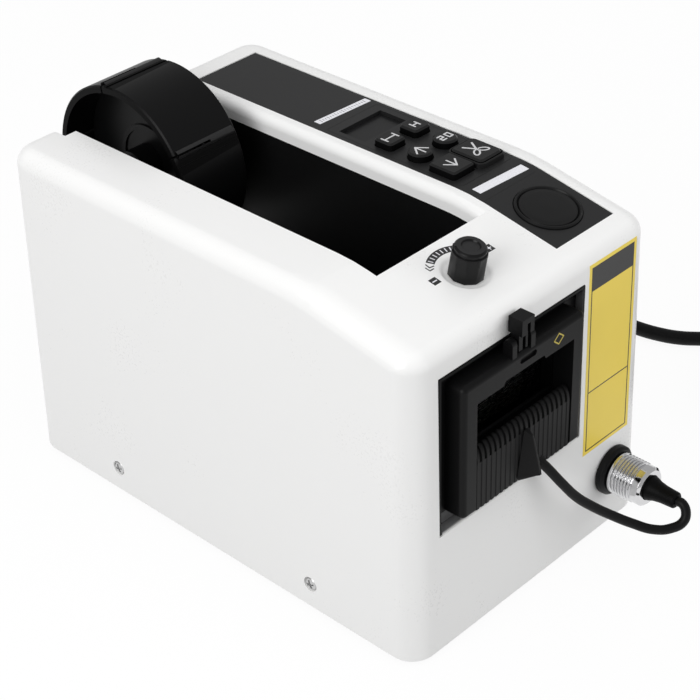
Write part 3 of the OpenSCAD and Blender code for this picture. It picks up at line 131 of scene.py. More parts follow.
class Shader:
    """The nodes of one material."""

    def __init__(self, name: str) -> None:
        """Makes a material with a Principled shader.

        Args:
            name: The material's name.
        """
        self.material = bpy.data.materials.new(name)
        self.material.use_nodes = True
        self.tree = self.material.node_tree
        self.main = self.tree.nodes["Principled BSDF"]

    def feed(self, socket: bpy.types.NodeSocket, value: object) -> None:
        """Links a Sock to a socket, or sets the socket's own value.

        Args:
            socket: The input that is fed.
            value: A Sock, a number, a vector or a colour.
        """
        if isinstance(value, Sock):
            self.tree.links.new(value.socket, socket)
        elif isinstance(value, tuple) and len(value) == 3 and socket.type == "RGBA":
            socket.default_value = (*value, 1.0)
        else:
            socket.default_value = value

    def node(self, kind: str, settings: dict | None = None, inputs: dict | None = None,
             output: int | str = 0) -> Sock:
        """Adds a node.

        Args:
            kind: The node's type.
            settings: Properties of the node, set first; "stops" holds a ramp's stops.
            inputs: Values or links by socket name or number.
            output: The output that is returned.

        Returns:
            The chosen output.
        """
        made = self.tree.nodes.new(kind)
        for key, value in (settings or {}).items():
            if key == "stops":
                for i, (place, colour) in enumerate(value):
                    stop = made.color_ramp.elements[i] if i < 2 else made.color_ramp.elements.new(place)
                    stop.position = place
                    stop.color = (*colour, 1.0)
            else:
                setattr(made, key, value)
        for key, value in (inputs or {}).items():
            self.feed(made.inputs[key], value)
        return Sock(self, made.outputs[output])

    def place(self) -> Sock:
        """Coordinates of the piece itself, in metres."""
        return self.node("ShaderNodeTexCoord", output="Object")

    def noise(self, place: Sock, size: float, detail: float = 3.0) -> Sock:
        """Noise from 0 to 1.

        Args:
            place: Where it is read.
            size: Size of its blobs in millimetres.
            detail: Finer octaves.

        Returns:
            The noise.
        """
        inputs = {"Vector": place, "Scale": 1.0 / (size * MM), "Detail": detail}
        return self.node("ShaderNodeTexNoise", None, inputs, "Fac")

    def stretched(self, place: Sock, stretch: Point) -> Sock:
        """Coordinates multiplied along each axis."""
        return self.node("ShaderNodeMapping", {"vector_type": "POINT"}, {"Vector": place, "Scale": stretch})

    def blend(self, low: "Colour | Sock", high: "Colour | Sock", mask: Sock) -> Sock:
        """Mixes two colours by a mask."""
        settings = {"data_type": "RGBA", "blend_type": "MIX"}
        return self.node("ShaderNodeMix", settings, {0: mask, 6: low, 7: high}, 2)

    def surface(self, **inputs: object) -> None:
        """Feeds the Principled shader, with _ for a space in a socket's name."""
        for key, value in inputs.items():
            self.feed(self.main.inputs[key.replace("_", " ")], value)

    def roughness(self, middle: float, value: Sock, spread: float) -> None:
        """Feeds the shader's Roughness, spread round its middle by a value from 0 to 1."""
        self.surface(Roughness=middle + (value - 0.5) * spread)

    def bump(self, height: Sock, depth: float) -> None:
        """Feeds the shader's Normal from a height.

        Args:
            height: From 0 to 1.
            depth: The depth in millimetres that 1 stands for.
        """
        inputs = {"Height": height, "Distance": depth * MM, "Strength": 1.0}
        self.surface(Normal=self.node("ShaderNodeBump", None, inputs))


class Finish:
    """What all finishes share: each is one material."""

    made: ClassVar[dict[str, bpy.types.Material]] = {}
    name: str

    def material(self) -> bpy.types.Material:
        """Gives the finish's material, built when it is first asked for.

        Returns:
            The material.
        """
        if self.name not in Finish.made:
            shader = Shader("finish_" + self.name)
            self.shade(shader)
            Finish.made[self.name] = shader.material
        return Finish.made[self.name]

    def shade(self, shader: Shader) -> None:
        """Builds the finish's nodes."""
        raise NotImplementedError


class Grain(Enum):
    """Textures that a mould leaves on plastic, with how far each spreads the roughness."""

    POLISHED = 0.05
    SATIN = 0.1
    SPARK = 0.16


@dataclass(frozen=True)
class Plastic(Finish):
    """A moulded plastic or rubber finish; sizes in millimetres."""

    broad_size: ClassVar[float] = 38.0
    broad_share: ClassVar[float] = 0.5
    wave_size: ClassVar[float] = 9.0
    wave_share: ClassVar[float] = 0.7
    cell_share: ClassVar[float] = 0.6
    index: ClassVar[float] = 1.49
    coat_roughness: ClassVar[float] = 0.08

    name: str
    colour: Colour
    roughness: float
    grain: Grain = Grain.SATIN
    grain_size: float = 0.35
    grain_depth: float = 0.012
    mottle: float = 0.06
    coat: float = 0.0
    specular: float = 0.5

    def shade(self, shader: Shader) -> None:
        """Builds the finish's nodes.

        Args:
            shader: The material that they go into.
        """
        place = shader.place()
        broad = shader.noise(place, self.broad_size)
        fine = shader.noise(place, self.grain_size)
        shade = tuple(c * (1.0 - self.mottle) for c in self.colour)
        shader.surface(Base_Color=shader.blend(shade, self.colour, broad))
        shader.roughness(self.roughness, broad.weigh(fine, self.broad_share), self.grain.value)
        if self.grain is Grain.POLISHED:
            height = shader.noise(place, self.wave_size, detail=1.0).weigh(fine, self.wave_share)
        elif self.grain is Grain.SATIN:
            height = fine
        else:
            cells = shader.node("ShaderNodeTexVoronoi", {"feature": "SMOOTH_F1"},
                                {"Vector": place, "Scale": 1.0 / (self.grain_size * MM)}, "Distance")
            height = cells.weigh(fine, self.cell_share)
        shader.bump(height, self.grain_depth)
        shader.surface(IOR=self.index, Specular_IOR_Level=self.specular)
        shader.surface(Coat_Weight=self.coat, Coat_Roughness=self.coat_roughness)


class Lay(Enum):
    """How the marks of a metal's making run."""

    ALONG_X = (0.06, 1.0, 1.0)
    ROUND_Y = (0.03, 1.0, 0.03)
    ALL_WAYS = (1.0, 1.0, 1.0)


@dataclass(frozen=True)
class Metal(Finish):
    """A metal finish; sizes in millimetres."""

    stain_size: ClassVar[float] = 14.0
    stain_shade: ClassVar[float] = 0.86
    mark_share: ClassVar[float] = 0.6
    spread: ClassVar[float] = 0.14

    name: str
    colour: Colour
    roughness: float
    lay: Lay = Lay.ALL_WAYS
    mark_size: float = 0.25
    mark_depth: float = 0.006

    def shade(self, shader: Shader) -> None:
        """Builds the finish's nodes.

        Args:
            shader: The material that they go into.
        """
        place = shader.place()
        marks = shader.noise(shader.stretched(place, self.lay.value), self.mark_size)
        stain = shader.noise(place, self.stain_size)
        dull = tuple(c * self.stain_shade for c in self.colour)
        shader.surface(Base_Color=shader.blend(dull, self.colour, stain), Metallic=1.0)
        shader.roughness(self.roughness, marks.weigh(stain, self.mark_share), self.spread)
        shader.bump(marks, self.mark_depth)


@dataclass(frozen=True)
class Ink(Finish):
    """A printed or painted mark; sizes in millimetres."""

    thin_size: ClassVar[float] = 0.5
    broad_size: ClassVar[float] = 22.0
    pale_shade: ClassVar[float] = 0.93
    spread: ClassVar[float] = 0.12
    depth: ClassVar[float] = 0.004

    name: str
    colour: Colour
    roughness: float = 0.45

    def shade(self, shader: Shader) -> None:
        """Builds the finish's nodes.

        Args:
            shader: The material that they go into.
        """
        place = shader.place()
        thin = shader.noise(place, self.thin_size)
        broad = shader.noise(place, self.broad_size, detail=2.0)
        pale = tuple(c * self.pale_shade for c in self.colour)
        shader.surface(Base_Color=shader.blend(pale, self.colour, broad))
        shader.roughness(self.roughness, thin, self.spread)
        shader.bump(thin, self.depth)


@dataclass(frozen=True)
class Fade(Finish):
    """Plastic whose colour goes over from one to another with the height; sizes in millimetres."""

    grain_size: ClassVar[float] = 0.6
    grain_depth: ClassVar[float] = 0.008
    spread: ClassVar[float] = 0.1

    name: str
    low: Colour
    high: Colour
    ends: Flat
    roughness: float = 0.5

    def shade(self, shader: Shader) -> None:
        """Builds the finish's nodes.

        Args:
            shader: The material that they go into.
        """
        place = shader.place()
        height = shader.node("ShaderNodeSeparateXYZ", None, {0: place}, "Z")
        first, last = (z * MM for z in self.ends)
        share = shader.node("ShaderNodeMapRange", {"clamp": True}, {"Value": height, 1: first, 2: last})
        fine = shader.noise(place, self.grain_size)
        shader.surface(Base_Color=shader.blend(self.low, self.high, share))
        shader.roughness(self.roughness, fine, self.spread)
        shader.bump(fine, self.grain_depth)


SHELL_WHITE = Plastic("shell_white", (0.86, 0.86, 0.855), 0.28, Grain.POLISHED, 0.9, 0.006, 0.012, 0.12)
MOULDED_BLACK = Plastic("moulded_black", (0.0044, 0.0044, 0.0046), 0.42, Grain.SPARK, 0.35, 0.014,
                        specular=0.13)
LINER_BLACK = Plastic("liner_black", (0.004, 0.004, 0.0042), 0.4, Grain.SPARK, 0.5, 0.014, specular=0.16)
WHEEL_BLACK = Plastic("wheel_black", (0.0036, 0.0036, 0.0038), 0.36, Grain.SATIN, 0.5, 0.01, specular=0.13)
# Painted highlight: the wheel's ridges are a lighter, glossier black than the drum, so that they read as lit
# bars.
RIDGE_PAINTED_HIGHLIGHT = Plastic("wheel_ridge", (0.016, 0.016, 0.0165), 0.32, Grain.SATIN, 0.5, 0.01, specular=0.3)
PANEL_BLACK = Plastic("panel_black", (0.014, 0.014, 0.0145), 0.4, Grain.SPARK, 0.3, 0.01, specular=0.26)
BUTTON_BLACK = Plastic("button_black", (0.008, 0.008, 0.0082), 0.36, Grain.SATIN, 0.3, 0.008, specular=0.16)
KEY_BLACK = Plastic("key_black", (0.009, 0.009, 0.0092), 0.38, Grain.SATIN, 0.3, 0.008, specular=0.24)
# Painted shade: a darker black for the keys' steep sides, the bezel's rear faces and the wheel's grooves and
# rim end.
PAINTED_SHADE_BLACK = Plastic("shade_black", (0.0025, 0.0025, 0.0026), 0.5, Grain.SATIN, 0.3, 0.008, specular=0.06)
# Painted shade: the frame plates are near-black, so that they read as the dark inside of the housing.
FRAME_PAINTED_SHADE_BLACK = Plastic("coated_steel", (0.004, 0.004, 0.0042), 0.5, Grain.SPARK, 0.8, 0.012, specular=0.1)
KNOB_BLACK = Plastic("knob_black", (0.004, 0.004, 0.0042), 0.3, Grain.SATIN, 0.3, 0.008, specular=0.21)
# Painted sheen: a lighter, glossier copy of the knob black for the knob's faces that look up.
KNOB_TOP_PAINTED_SHEEN = Plastic("knob_top", (0.017, 0.017, 0.0175), 0.34, Grain.SATIN, 0.3, 0.008, specular=0.26)
LENS_SMOKE = Plastic("lens_smoke", (0.011, 0.011, 0.0115), 0.3, Grain.POLISHED, 0.6, 0.003, specular=0.2)
CORD_BLACK = Plastic("cord_black", (0.0035, 0.0035, 0.0037), 0.44, Grain.SATIN, 0.6, 0.02, specular=0.16)
# Painted shade: the boot is a darker black than the cord, to offset the light that falls on it.
BOOT_PAINTED_SHADE_BLACK = Plastic("boot_black", (0.002, 0.002, 0.0021), 0.46, Grain.SATIN, 0.6, 0.02, specular=0.09)
SOCKET_BLACK = Plastic("socket_black", (0.004, 0.004, 0.0043), 0.4, Grain.SATIN, 0.4, 0.012, specular=0.15)
FOOT_RUBBER = Plastic("foot_rubber", (0.02, 0.02, 0.02), 0.65, Grain.SPARK, 0.5, 0.03)
GEAR_WHITE = Plastic("gear_white", (0.72, 0.71, 0.68), 0.4, Grain.SATIN, 0.4, 0.01)
# Partly the recess's own grey, partly painted light: the floor's grey is lighter than the back's to offset
# the shade on the floor.
FLOOR_GREY_PAINTED_LIGHT = Plastic("floor_grey", (0.175, 0.175, 0.178), 0.5, Grain.SPARK, 0.5, 0.02)
BACK_GREY_PAINTED_LIGHT = Plastic("back_grey", (0.085, 0.085, 0.087), 0.5, Grain.SPARK, 0.5, 0.02)
# Painted shade: the sill's colour fades from the white face to the recess grey, in place of the shading
# across its rounding.
SILL_PAINTED_SHADE_FADE = Fade("sill_fade", (0.8, 0.8, 0.795), (0.16, 0.16, 0.162), (53.4, 54.5))
BOARD_GREEN = Plastic("board_green", (0.02, 0.11, 0.05), 0.3, Grain.POLISHED, 0.7, 0.006, 0.2)
SUPPLY_GREY = Plastic("supply_grey", (0.16, 0.165, 0.17), 0.5, Grain.SPARK, 0.6, 0.02)
ZINC_PLATE = Metal("zinc_plate", (0.62, 0.63, 0.64), 0.38, Lay.ALL_WAYS, 1.2, 0.006)
GROUND_STEEL = Metal("ground_steel", (0.66, 0.66, 0.67), 0.26, Lay.ALONG_X, 0.12)
CAN_STEEL = Metal("can_steel", (0.5, 0.51, 0.52), 0.34, Lay.ALONG_X, 0.3)
SCREW_STEEL = Metal("screw_steel", (0.6, 0.6, 0.6), 0.3, Lay.ALL_WAYS, 0.4, 0.008)
TURNED_BRASS = Metal("turned_brass", (0.72, 0.52, 0.22), 0.3, Lay.ALONG_X, 0.15)
CHROME = Metal("chrome", (0.72, 0.72, 0.73), 0.1, Lay.ROUND_Y, 0.3, 0.003)
PRINT_BLACK = Ink("print_black", (0.016, 0.016, 0.016), 0.4)
PRINT_DARK = Ink("print_dark", (0.09, 0.09, 0.1), 0.45)
PRINT_GREY = Ink("print_grey", (0.62, 0.62, 0.63), 0.45)
STRIP_WHITE = Ink("strip_white", (0.8, 0.8, 0.84), 0.4)
LABEL_YELLOW = Ink("label_yellow", (0.9, 0.69, 0.1), 0.4)
MARK_YELLOW = Ink("mark_yellow", (0.5, 0.4, 0.06), 0.45)
GROOVE_BLACK = Ink("groove_black", (0.004, 0.004, 0.004), 0.6)


@dataclass(frozen=True)
class Edge:
    """How a solid's edges are softened; lengths in millimetres, angles in degrees."""

    joint: ClassVar[float] = 0.002
    flatness: ClassVar[float] = 0.4
    evenness: ClassVar[int] = 80

    width: float = 0.0
    segments: int = 2
    angle: float = 34.0

    def soften(self, piece: bpy.types.Object) -> None:
        """Adds the modifiers that join, bevel and smooth a solid.

        Args:
            piece: The solid's object.
        """
        weld = piece.modifiers.new("join", "WELD")
        weld.merge_threshold = self.joint * MM
        for face in piece.data.polygons:
            face.use_smooth = True
        if self.width:
            flat = piece.modifiers.new("flat", "DECIMATE")
            flat.decimate_type = "DISSOLVE"
            flat.angle_limit = math.radians(self.flatness)
            bevel = piece.modifiers.new("edge", "BEVEL")
            bevel.width = self.width * MM
            bevel.segments = self.segments
            bevel.limit_method = "ANGLE"
            bevel.angle_limit = math.radians(self.angle)
            bevel.harden_normals = False
            bevel.miter_outer = "MITER_ARC"
        split = piece.modifiers.new("split", "EDGE_SPLIT")
        split.split_angle = math.radians(self.angle)
        split.use_edge_sharp = False
        weight = piece.modifiers.new("even", "WEIGHTED_NORMAL")
        weight.weight = self.evenness


SHARP = Edge()
ROUND_SKIN = Edge(angle=30.0)
FINE_EDGE = Edge(0.15, 1)
SOFT_EDGE = Edge(0.3)


def paint(piece: bpy.types.Object, finish: Finish) -> None:
    """Gives a piece one finish."""
    piece.data.materials.clear()
    piece.data.materials.append(finish.material())


def dress(node: str, finish: Finish, edge: Edge = SHARP) -> bpy.types.Object:
    """Finishes a CAD solid.

    Args:
        node: The solid's name.
        finish: Its finish.
        edge: How its edges are softened.

    Returns:
        The solid's object.
    """
    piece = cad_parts[node]
    paint(piece, finish)
    edge.soften(piece)
    LOG.info("dressed %s in %s", node, finish.name)
    return piece


def second_finish(piece: bpy.types.Object, finish: Finish,
                  chosen: Callable[[bpy.types.MeshPolygon], bool]) -> None:
    """Gives some faces of a solid another finish.

    Args:
        piece: The solid's object.
        finish: The other finish.
        chosen: Says whether a face has the other finish.
    """
    place = len(piece.data.materials)
    piece.data.materials.append(finish.material())
    for face in piece.data.polygons:
        if chosen(face):
            face.material_index = place


def ring(shape: bmesh.types.BMesh, points: Iterable[Sequence[float]]) -> Corners:
    """Adds a ring of corners at points in millimetres."""
    return [shape.verts.new(metres(point)) for point in points]


def bridge(shape: bmesh.types.BMesh, first: Corners, second: Corners) -> None:
    """Joins two rings of corners with faces."""
    for i, j in enumerate([*range(1, len(first)), 0]):
        shape.faces.new((first[i], first[j], second[j], second[i]))


def loft(shape: bmesh.types.BMesh, rings: Sequence[Corners]) -> None:
    """Joins rings of corners in a row and closes both ends.

    Args:
        shape: The mesh that grows.
        rings: The rings, one after the other.
    """
    for first, second in zip(rings, rings[1:]):
        bridge(shape, first, second)
    shape.faces.new(rings[0])
    shape.faces.new(rings[-1])


def mesh_of(shape: bmesh.types.BMesh, name: str) -> bpy.types.Mesh:
    """Turns a finished shape into a mesh.

    Args:
        shape: The shape, which is used up.
        name: The mesh's name.

    Returns:
        The mesh, with its faces turned outwards.
    """
    bmesh.ops.recalc_face_normals(shape, faces=shape.faces)
    mesh = bpy.data.meshes.new(name)
    shape.to_mesh(mesh)
    shape.free()
    return mesh


def new_piece(name: str, mesh: bpy.types.Mesh, finish: Finish, body: str) -> bpy.types.Object:
    """Links a new piece that rides on a body.

    Args:
        name: The piece's name.
        mesh: Its mesh, in the row frame.
        finish: Its finish.
        body: The body that carries it.

    Returns:
        The new object.
    """
    piece = bpy.data.objects.new(name, mesh)
    bpy.context.scene.collection.objects.link(piece)
    paint(piece, finish)
    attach(piece, body)
    LOG.info("built %s", name)
    return piece


class Plane:
    """A flat place that marks are laid on: a point, its right and its up, in millimetres."""

    def __init__(self, origin: Sequence[float], right: Sequence[float], up: Sequence[float]) -> None:
        """Keeps the axes as unit vectors.

        Args:
            origin: The place's middle.
            right: Where the marks' right lies.
            up: Where their up lies.
        """
        self.origin = Vector(origin)
        self.right = Vector(right).normalized()
        self.up = Vector(up).normalized()
        self.out = self.right.cross(self.up)

    def point(self, flat: Flat, lift: float = 0.0) -> Vector:
        """Point of the plane, lifted off it."""
        return self.origin + self.right * flat[0] + self.up * flat[1] + self.out * lift


class Marks:
    """Flat printed marks on one plane, gathered into one mesh; sizes in millimetres."""

    lap: ClassVar[float] = 0.002
    laps: ClassVar[int] = 5
    end_steps: ClassVar[int] = 6

    def __init__(self, plane: Plane, lift: float = 0.02, depth: float = 0.04) -> None:
        """Starts an empty set.

        Args:
            plane: Where the marks lie.
            lift: How far their tops stand off the plane.
            depth: Their thickness.
        """
        self.plane = plane
        self.lift = lift
        self.depth = depth
        self.shape = bmesh.new()
        self.count = 0

    def face(self, outline: Sequence[Flat]) -> None:
        """Adds a closed thin plate; plates that cross lie at slightly different heights.

        Args:
            outline: The plate's corners in turn.
        """
        top = self.lift + self.lap * (self.count % self.laps)
        self.count += 1
        heights = (top, top - self.depth)
        loft(self.shape, [ring(self.shape, [self.plane.point(p, z) for p in outline]) for z in heights])

    def stroke(self, start: Flat, end: Flat, width: float) -> None:
        """Adds a straight bar with round ends.

        Args:
            start: Middle of its first end.
            end: Middle of its last end.
            width: Its width.
        """
        a, b = Vector(start), Vector(end)
        turn = math.atan2(b.y - a.y, b.x - a.x)
        outline = []
        for centre, first in ((b, turn - math.pi / 2), (a, turn + math.pi / 2)):
            for k in range(self.end_steps + 1):
                t = first + math.pi * k / self.end_steps
                outline.append((centre.x + width / 2 * math.cos(t), centre.y + width / 2 * math.sin(t)))
        self.face(outline)

    def chain(self, points: Sequence[Flat], width: float) -> None:
        """Adds bars along a line of points."""
        for start, end in zip(points, points[1:]):
            self.stroke(start, end, width)

    def arc(self, centre: Flat, radius: float, ends: Flat, width: float, steps: int) -> None:
        """Adds a band along an arc.

        Args:
            centre: The arc's middle.
            radius: Its radius.
            ends: Where it starts and ends, in degrees.
            width: Its width.
            steps: Pieces of the arc.
        """
        outer, inner = [], []
        for k in range(steps + 1):
            t = math.radians(ends[0] + (ends[1] - ends[0]) * k / steps)
            for line, r in ((outer, radius + width / 2), (inner, radius - width / 2)):
                line.append((centre[0] + r * math.cos(t), centre[1] + r * math.sin(t)))
        self.face(outer + inner[::-1])

    def loop(self, centre: Flat, way: Flat, half: Flat, width: float, steps: int = 20) -> None:
        """Adds an oval line.

        Args:
            centre: The oval's middle.
            way: Direction of its long axis.
            half: Half its length and half its breadth.
            width: Width of the line.
            steps: Pieces of the oval.
        """
        along = Vector(way).normalized() * half[0]
        across = Vector((-along.y, along.x)).normalized() * half[1]
        turns = [2 * math.pi * k / steps for k in range(steps + 1)]
        self.chain([Vector(centre) + along * math.cos(t) + across * math.sin(t) for t in turns], width)

    def finish(self, name: str, ink: Finish, body: str, slot: str) -> bpy.types.Object:
        """Turns the marks into a piece.

        Args:
            name: The piece's name.
            ink: Its finish.
            body: The body that carries it.
            slot: Not used.

        Returns:
            The new object.
        """
        return new_piece(name, mesh_of(self.shape, name), ink, body)


@dataclass(frozen=True)
class Rays:
    """Parallel rays from a flat field, in millimetres: a corner, the two edges from it and the direction."""

    corner: Point
    across: Point
    along: Point
    way: Point

    def start(self, u: float, v: float) -> Vector:
        """Start of the ray at a share of both edges, in metres."""
        return metres(Vector(self.corner) + Vector(self.across) * u + Vector(self.along) * v)


@dataclass(frozen=True)
class Sheet:
    """A thin sheet: cells across and along, its face's lift off the skin and its depth, in millimetres."""

    cells: tuple[int, int]
    lift: float
    depth: float


class Drape:
    """Lays thin sheets on the skin of a CAD solid."""

    def __init__(self, node: str) -> None:
        """Reads the solid's skin.

        Args:
            node: The solid's name.
        """
        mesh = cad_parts[node].data
        corners = [v.co.copy() for v in mesh.vertices]
        self.tree = BVHTree.FromPolygons(corners, [tuple(p.vertices) for p in mesh.polygons])

    def land(self, start: Vector, way: Vector) -> tuple[Vector, Vector]:
        """Finds where a ray meets the skin.

        Args:
            start: Its start in metres.
            way: Its direction.

        Returns:
            The point that is hit and the skin's normal there.
        """
        hit, normal, _, _ = self.tree.ray_cast(start, way)
        if hit is None:
            raise ValueError(f"no skin under {tuple(start)}")
        return hit, normal if normal.dot(way) < 0 else -normal

    def lay(self, name: str, rays: Rays, sheet: Sheet) -> bpy.types.Mesh:
        """Makes a closed thin sheet on the skin.

        Args:
            name: The mesh's name.
            rays: The rays whose ends carry the sheet.
            sheet: Its cells and thickness.

        Returns:
            The mesh.
        """
        shape = bmesh.new()
        across, along = sheet.cells
        tops, lows = [], []
        for j in range(along + 1):
            for i in range(across + 1):
                hit, normal = self.land(rays.start(i / across, j / along), Vector(rays.way))
                tops.append(shape.verts.new(hit + normal * sheet.lift * MM))
                lows.append(shape.verts.new(hit + normal * (sheet.lift - sheet.depth) * MM))
        row = across + 1
        for j in range(along):
            for i in range(across):
                ids = (j * row + i, j * row + i + 1, (j + 1) * row + i + 1, (j + 1) * row + i)
                for layer in (tops, lows):
                    shape.faces.new([layer[k] for k in ids])
        rim = [*range(row), *(j * row + across for j in range(1, along + 1)),
               *(along * row + i for i in range(across - 1, -1, -1)),
               *(j * row for j in range(along - 1, 0, -1))]
        bridge(shape, [tops[k] for k in rim], [lows[k] for k in rim])
        mesh = mesh_of(shape, name)
        for face in mesh.polygons:
            face.use_smooth = False
        return mesh


@dataclass(frozen=True)
class Lamp:
    """A square soft lamp; lengths in millimetres, power in watts. Glossy faces may mirror it or not."""

    name: str
    place: Point
    size: float
    watts: float
    mirrored: bool

    def hang(self, target: Point) -> None:
        """Hangs the lamp so that it faces a point.

        Args:
            target: The point.
        """
        data = bpy.data.lights.new(self.name, "AREA")
        data.shape = "SQUARE"
        data.size = self.size * MM
        data.energy = self.watts
        holder = bpy.data.objects.new(self.name, data)
        holder.visible_glossy = self.mirrored
        holder.location = metres(self.place)
        way = metres(target) - holder.location
        holder.rotation_euler = way.to_track_quat("-Z", "Y").to_euler()
        bpy.context.scene.collection.objects.link(holder)


@dataclass
class Studio:
    """Camera, floor and lamps; lengths in millimetres, angles in degrees."""

    turn: float = -45.82
    rise: float = 33.84
    roll: float = -1.70
    distance: float = 770.21
    focus: float = 1963.29
    shift: Flat = (-24.17, -25.74)
    target: Point = (0.0, 0.0, 71.5)
    pixels: int = 700
    sensor: float = 36.0
    sight: Flat = (20.0, 80000.0)
    floor_size: float = 60000.0
    floor_drop: float = 0.2
    floor_tones: tuple[Colour, Colour] = ((0.88, 0.88, 0.88), (0.9, 0.9, 0.9))
    floor_speck: float = 60.0
    floor_roughness: float = 0.8
    glow: float = 0.93
    bounce: Colour = (0.31, 0.31, 0.31)
    room: float = 0.5
    lamps: tuple[Lamp, ...] = (
        Lamp("key_lamp", (-1050.0, -120.0, 620.0), 700.0, 6.9, True),
        Lamp("sky_panel", (0.0, 0.0, 1400.0), 4500.0, 25.5, False),
        Lamp("front_lamp", (500.0, -1100.0, 250.0), 700.0, 4.0, False))

    def camera(self) -> None:
        """Puts the camera at the photograph's angle."""
        a, e, r = (math.radians(x) for x in (self.turn, self.rise, self.roll))
        back = Vector((math.sin(a) * math.cos(e), -math.cos(a) * math.cos(e), math.sin(e)))
        right = Vector((math.cos(a), math.sin(a), 0.0))
        up = back.cross(right)
        right, up = math.cos(r) * right + math.sin(r) * up, math.cos(r) * up - math.sin(r) * right
        scale = self.distance / self.focus
        place = Vector(self.target) + back * self.distance
        place += up * (self.shift[1] * scale) - right * (self.shift[0] * scale)
        data = bpy.data.cameras.new("camera")
        data.sensor_width = self.sensor
        data.lens = self.sensor * self.focus / self.pixels
        data.clip_start, data.clip_end = (reach * MM for reach in self.sight)
        holder = bpy.data.objects.new("camera", data)
        bpy.context.scene.collection.objects.link(holder)
        turn = Matrix((right, up, back)).transposed().to_4x4()
        holder.matrix_world = Matrix.Translation(place * MM) @ turn
        bpy.context.scene.camera = holder

    def floor(self) -> None:
        """Lays a pale floor that stays white behind the object."""
        middle = metres((0.0, 0.0, -self.floor_drop))
        bpy.ops.mesh.primitive_plane_add(size=self.floor_size * MM, location=middle)
        floor = bpy.context.object
        floor.name = "floor"
        shader = Shader("floor_white")
        speck = shader.noise(shader.place(), self.floor_speck, detail=2.0)
        rays = [shader.node("ShaderNodeLightPath", output=f"Is {kind} Ray")
                for kind in ("Camera", "Glossy", "Transmission")]
        seen = rays[0] + rays[1] + rays[2]
        pale = shader.blend(*self.floor_tones, speck)
        shader.surface(Base_Color=shader.blend(self.bounce, pale, seen), Roughness=self.floor_roughness)
        white = shader.node("ShaderNodeEmission", None, {"Color": (1.0, 1.0, 1.0), "Strength": 1.0})
        matte = Sock(shader, shader.main.outputs[0])
        both = shader.node("ShaderNodeMixShader", None, {0: self.glow * seen, 1: matte, 2: white})
        shader.feed(shader.tree.nodes["Material Output"].inputs["Surface"], both)
        floor.data.materials.append(shader.material)

    def world(self) -> None:
        """Fills the room with even light."""
        world = bpy.data.worlds.new("room")
        world.use_nodes = True
        ground = world.node_tree.nodes["Background"]
        ground.inputs["Color"].default_value = (1.0, 1.0, 1.0, 1.0)
        ground.inputs["Strength"].default_value = self.room
        bpy.context.scene.world = world

    def build(self) -> None:
        """Sets the stage."""
        bpy.context.scene.view_settings.view_transform = "Standard"
        self.camera()
        self.floor()
        self.world()
        for lamp in self.lamps:
            lamp.hang(self.target)


@dataclass
class Lead:
    """A round cord along points in millimetres."""

    round_steps: ClassVar[int] = 5
    line_steps: ClassVar[int] = 6

    name: str
    diameter: float
    points: Sequence[Sequence[float]]

    def build(self, finish: Finish, slot: str) -> bpy.types.Object:
        """Draws the cord as one smooth curve.

        Args:
            finish: Its finish.
            slot: Not used.

        Returns:
            The curve.
        """
        curve = bpy.data.curves.new(self.name, "CURVE")
        curve.dimensions = "3D"
        curve.bevel_depth = self.diameter / 2 * MM
        curve.bevel_resolution = self.round_steps
        curve.resolution_u = self.line_steps
        curve.use_fill_caps = True
        line = curve.splines.new("BEZIER")
        line.bezier_points.add(len(self.points) - 1)
        for knot, point in zip(line.bezier_points, self.points):
            knot.co = metres(point)
            knot.handle_left_type = knot.handle_right_type = "AUTO"
        piece = bpy.data.objects.new(self.name, curve)
        bpy.context.scene.collection.objects.link(piece)
        curve.materials.append(finish.material())
        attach(piece, MACHINE)
        LOG.info("laid %s, %.4f m long", self.name, line.calc_length())
        return piece


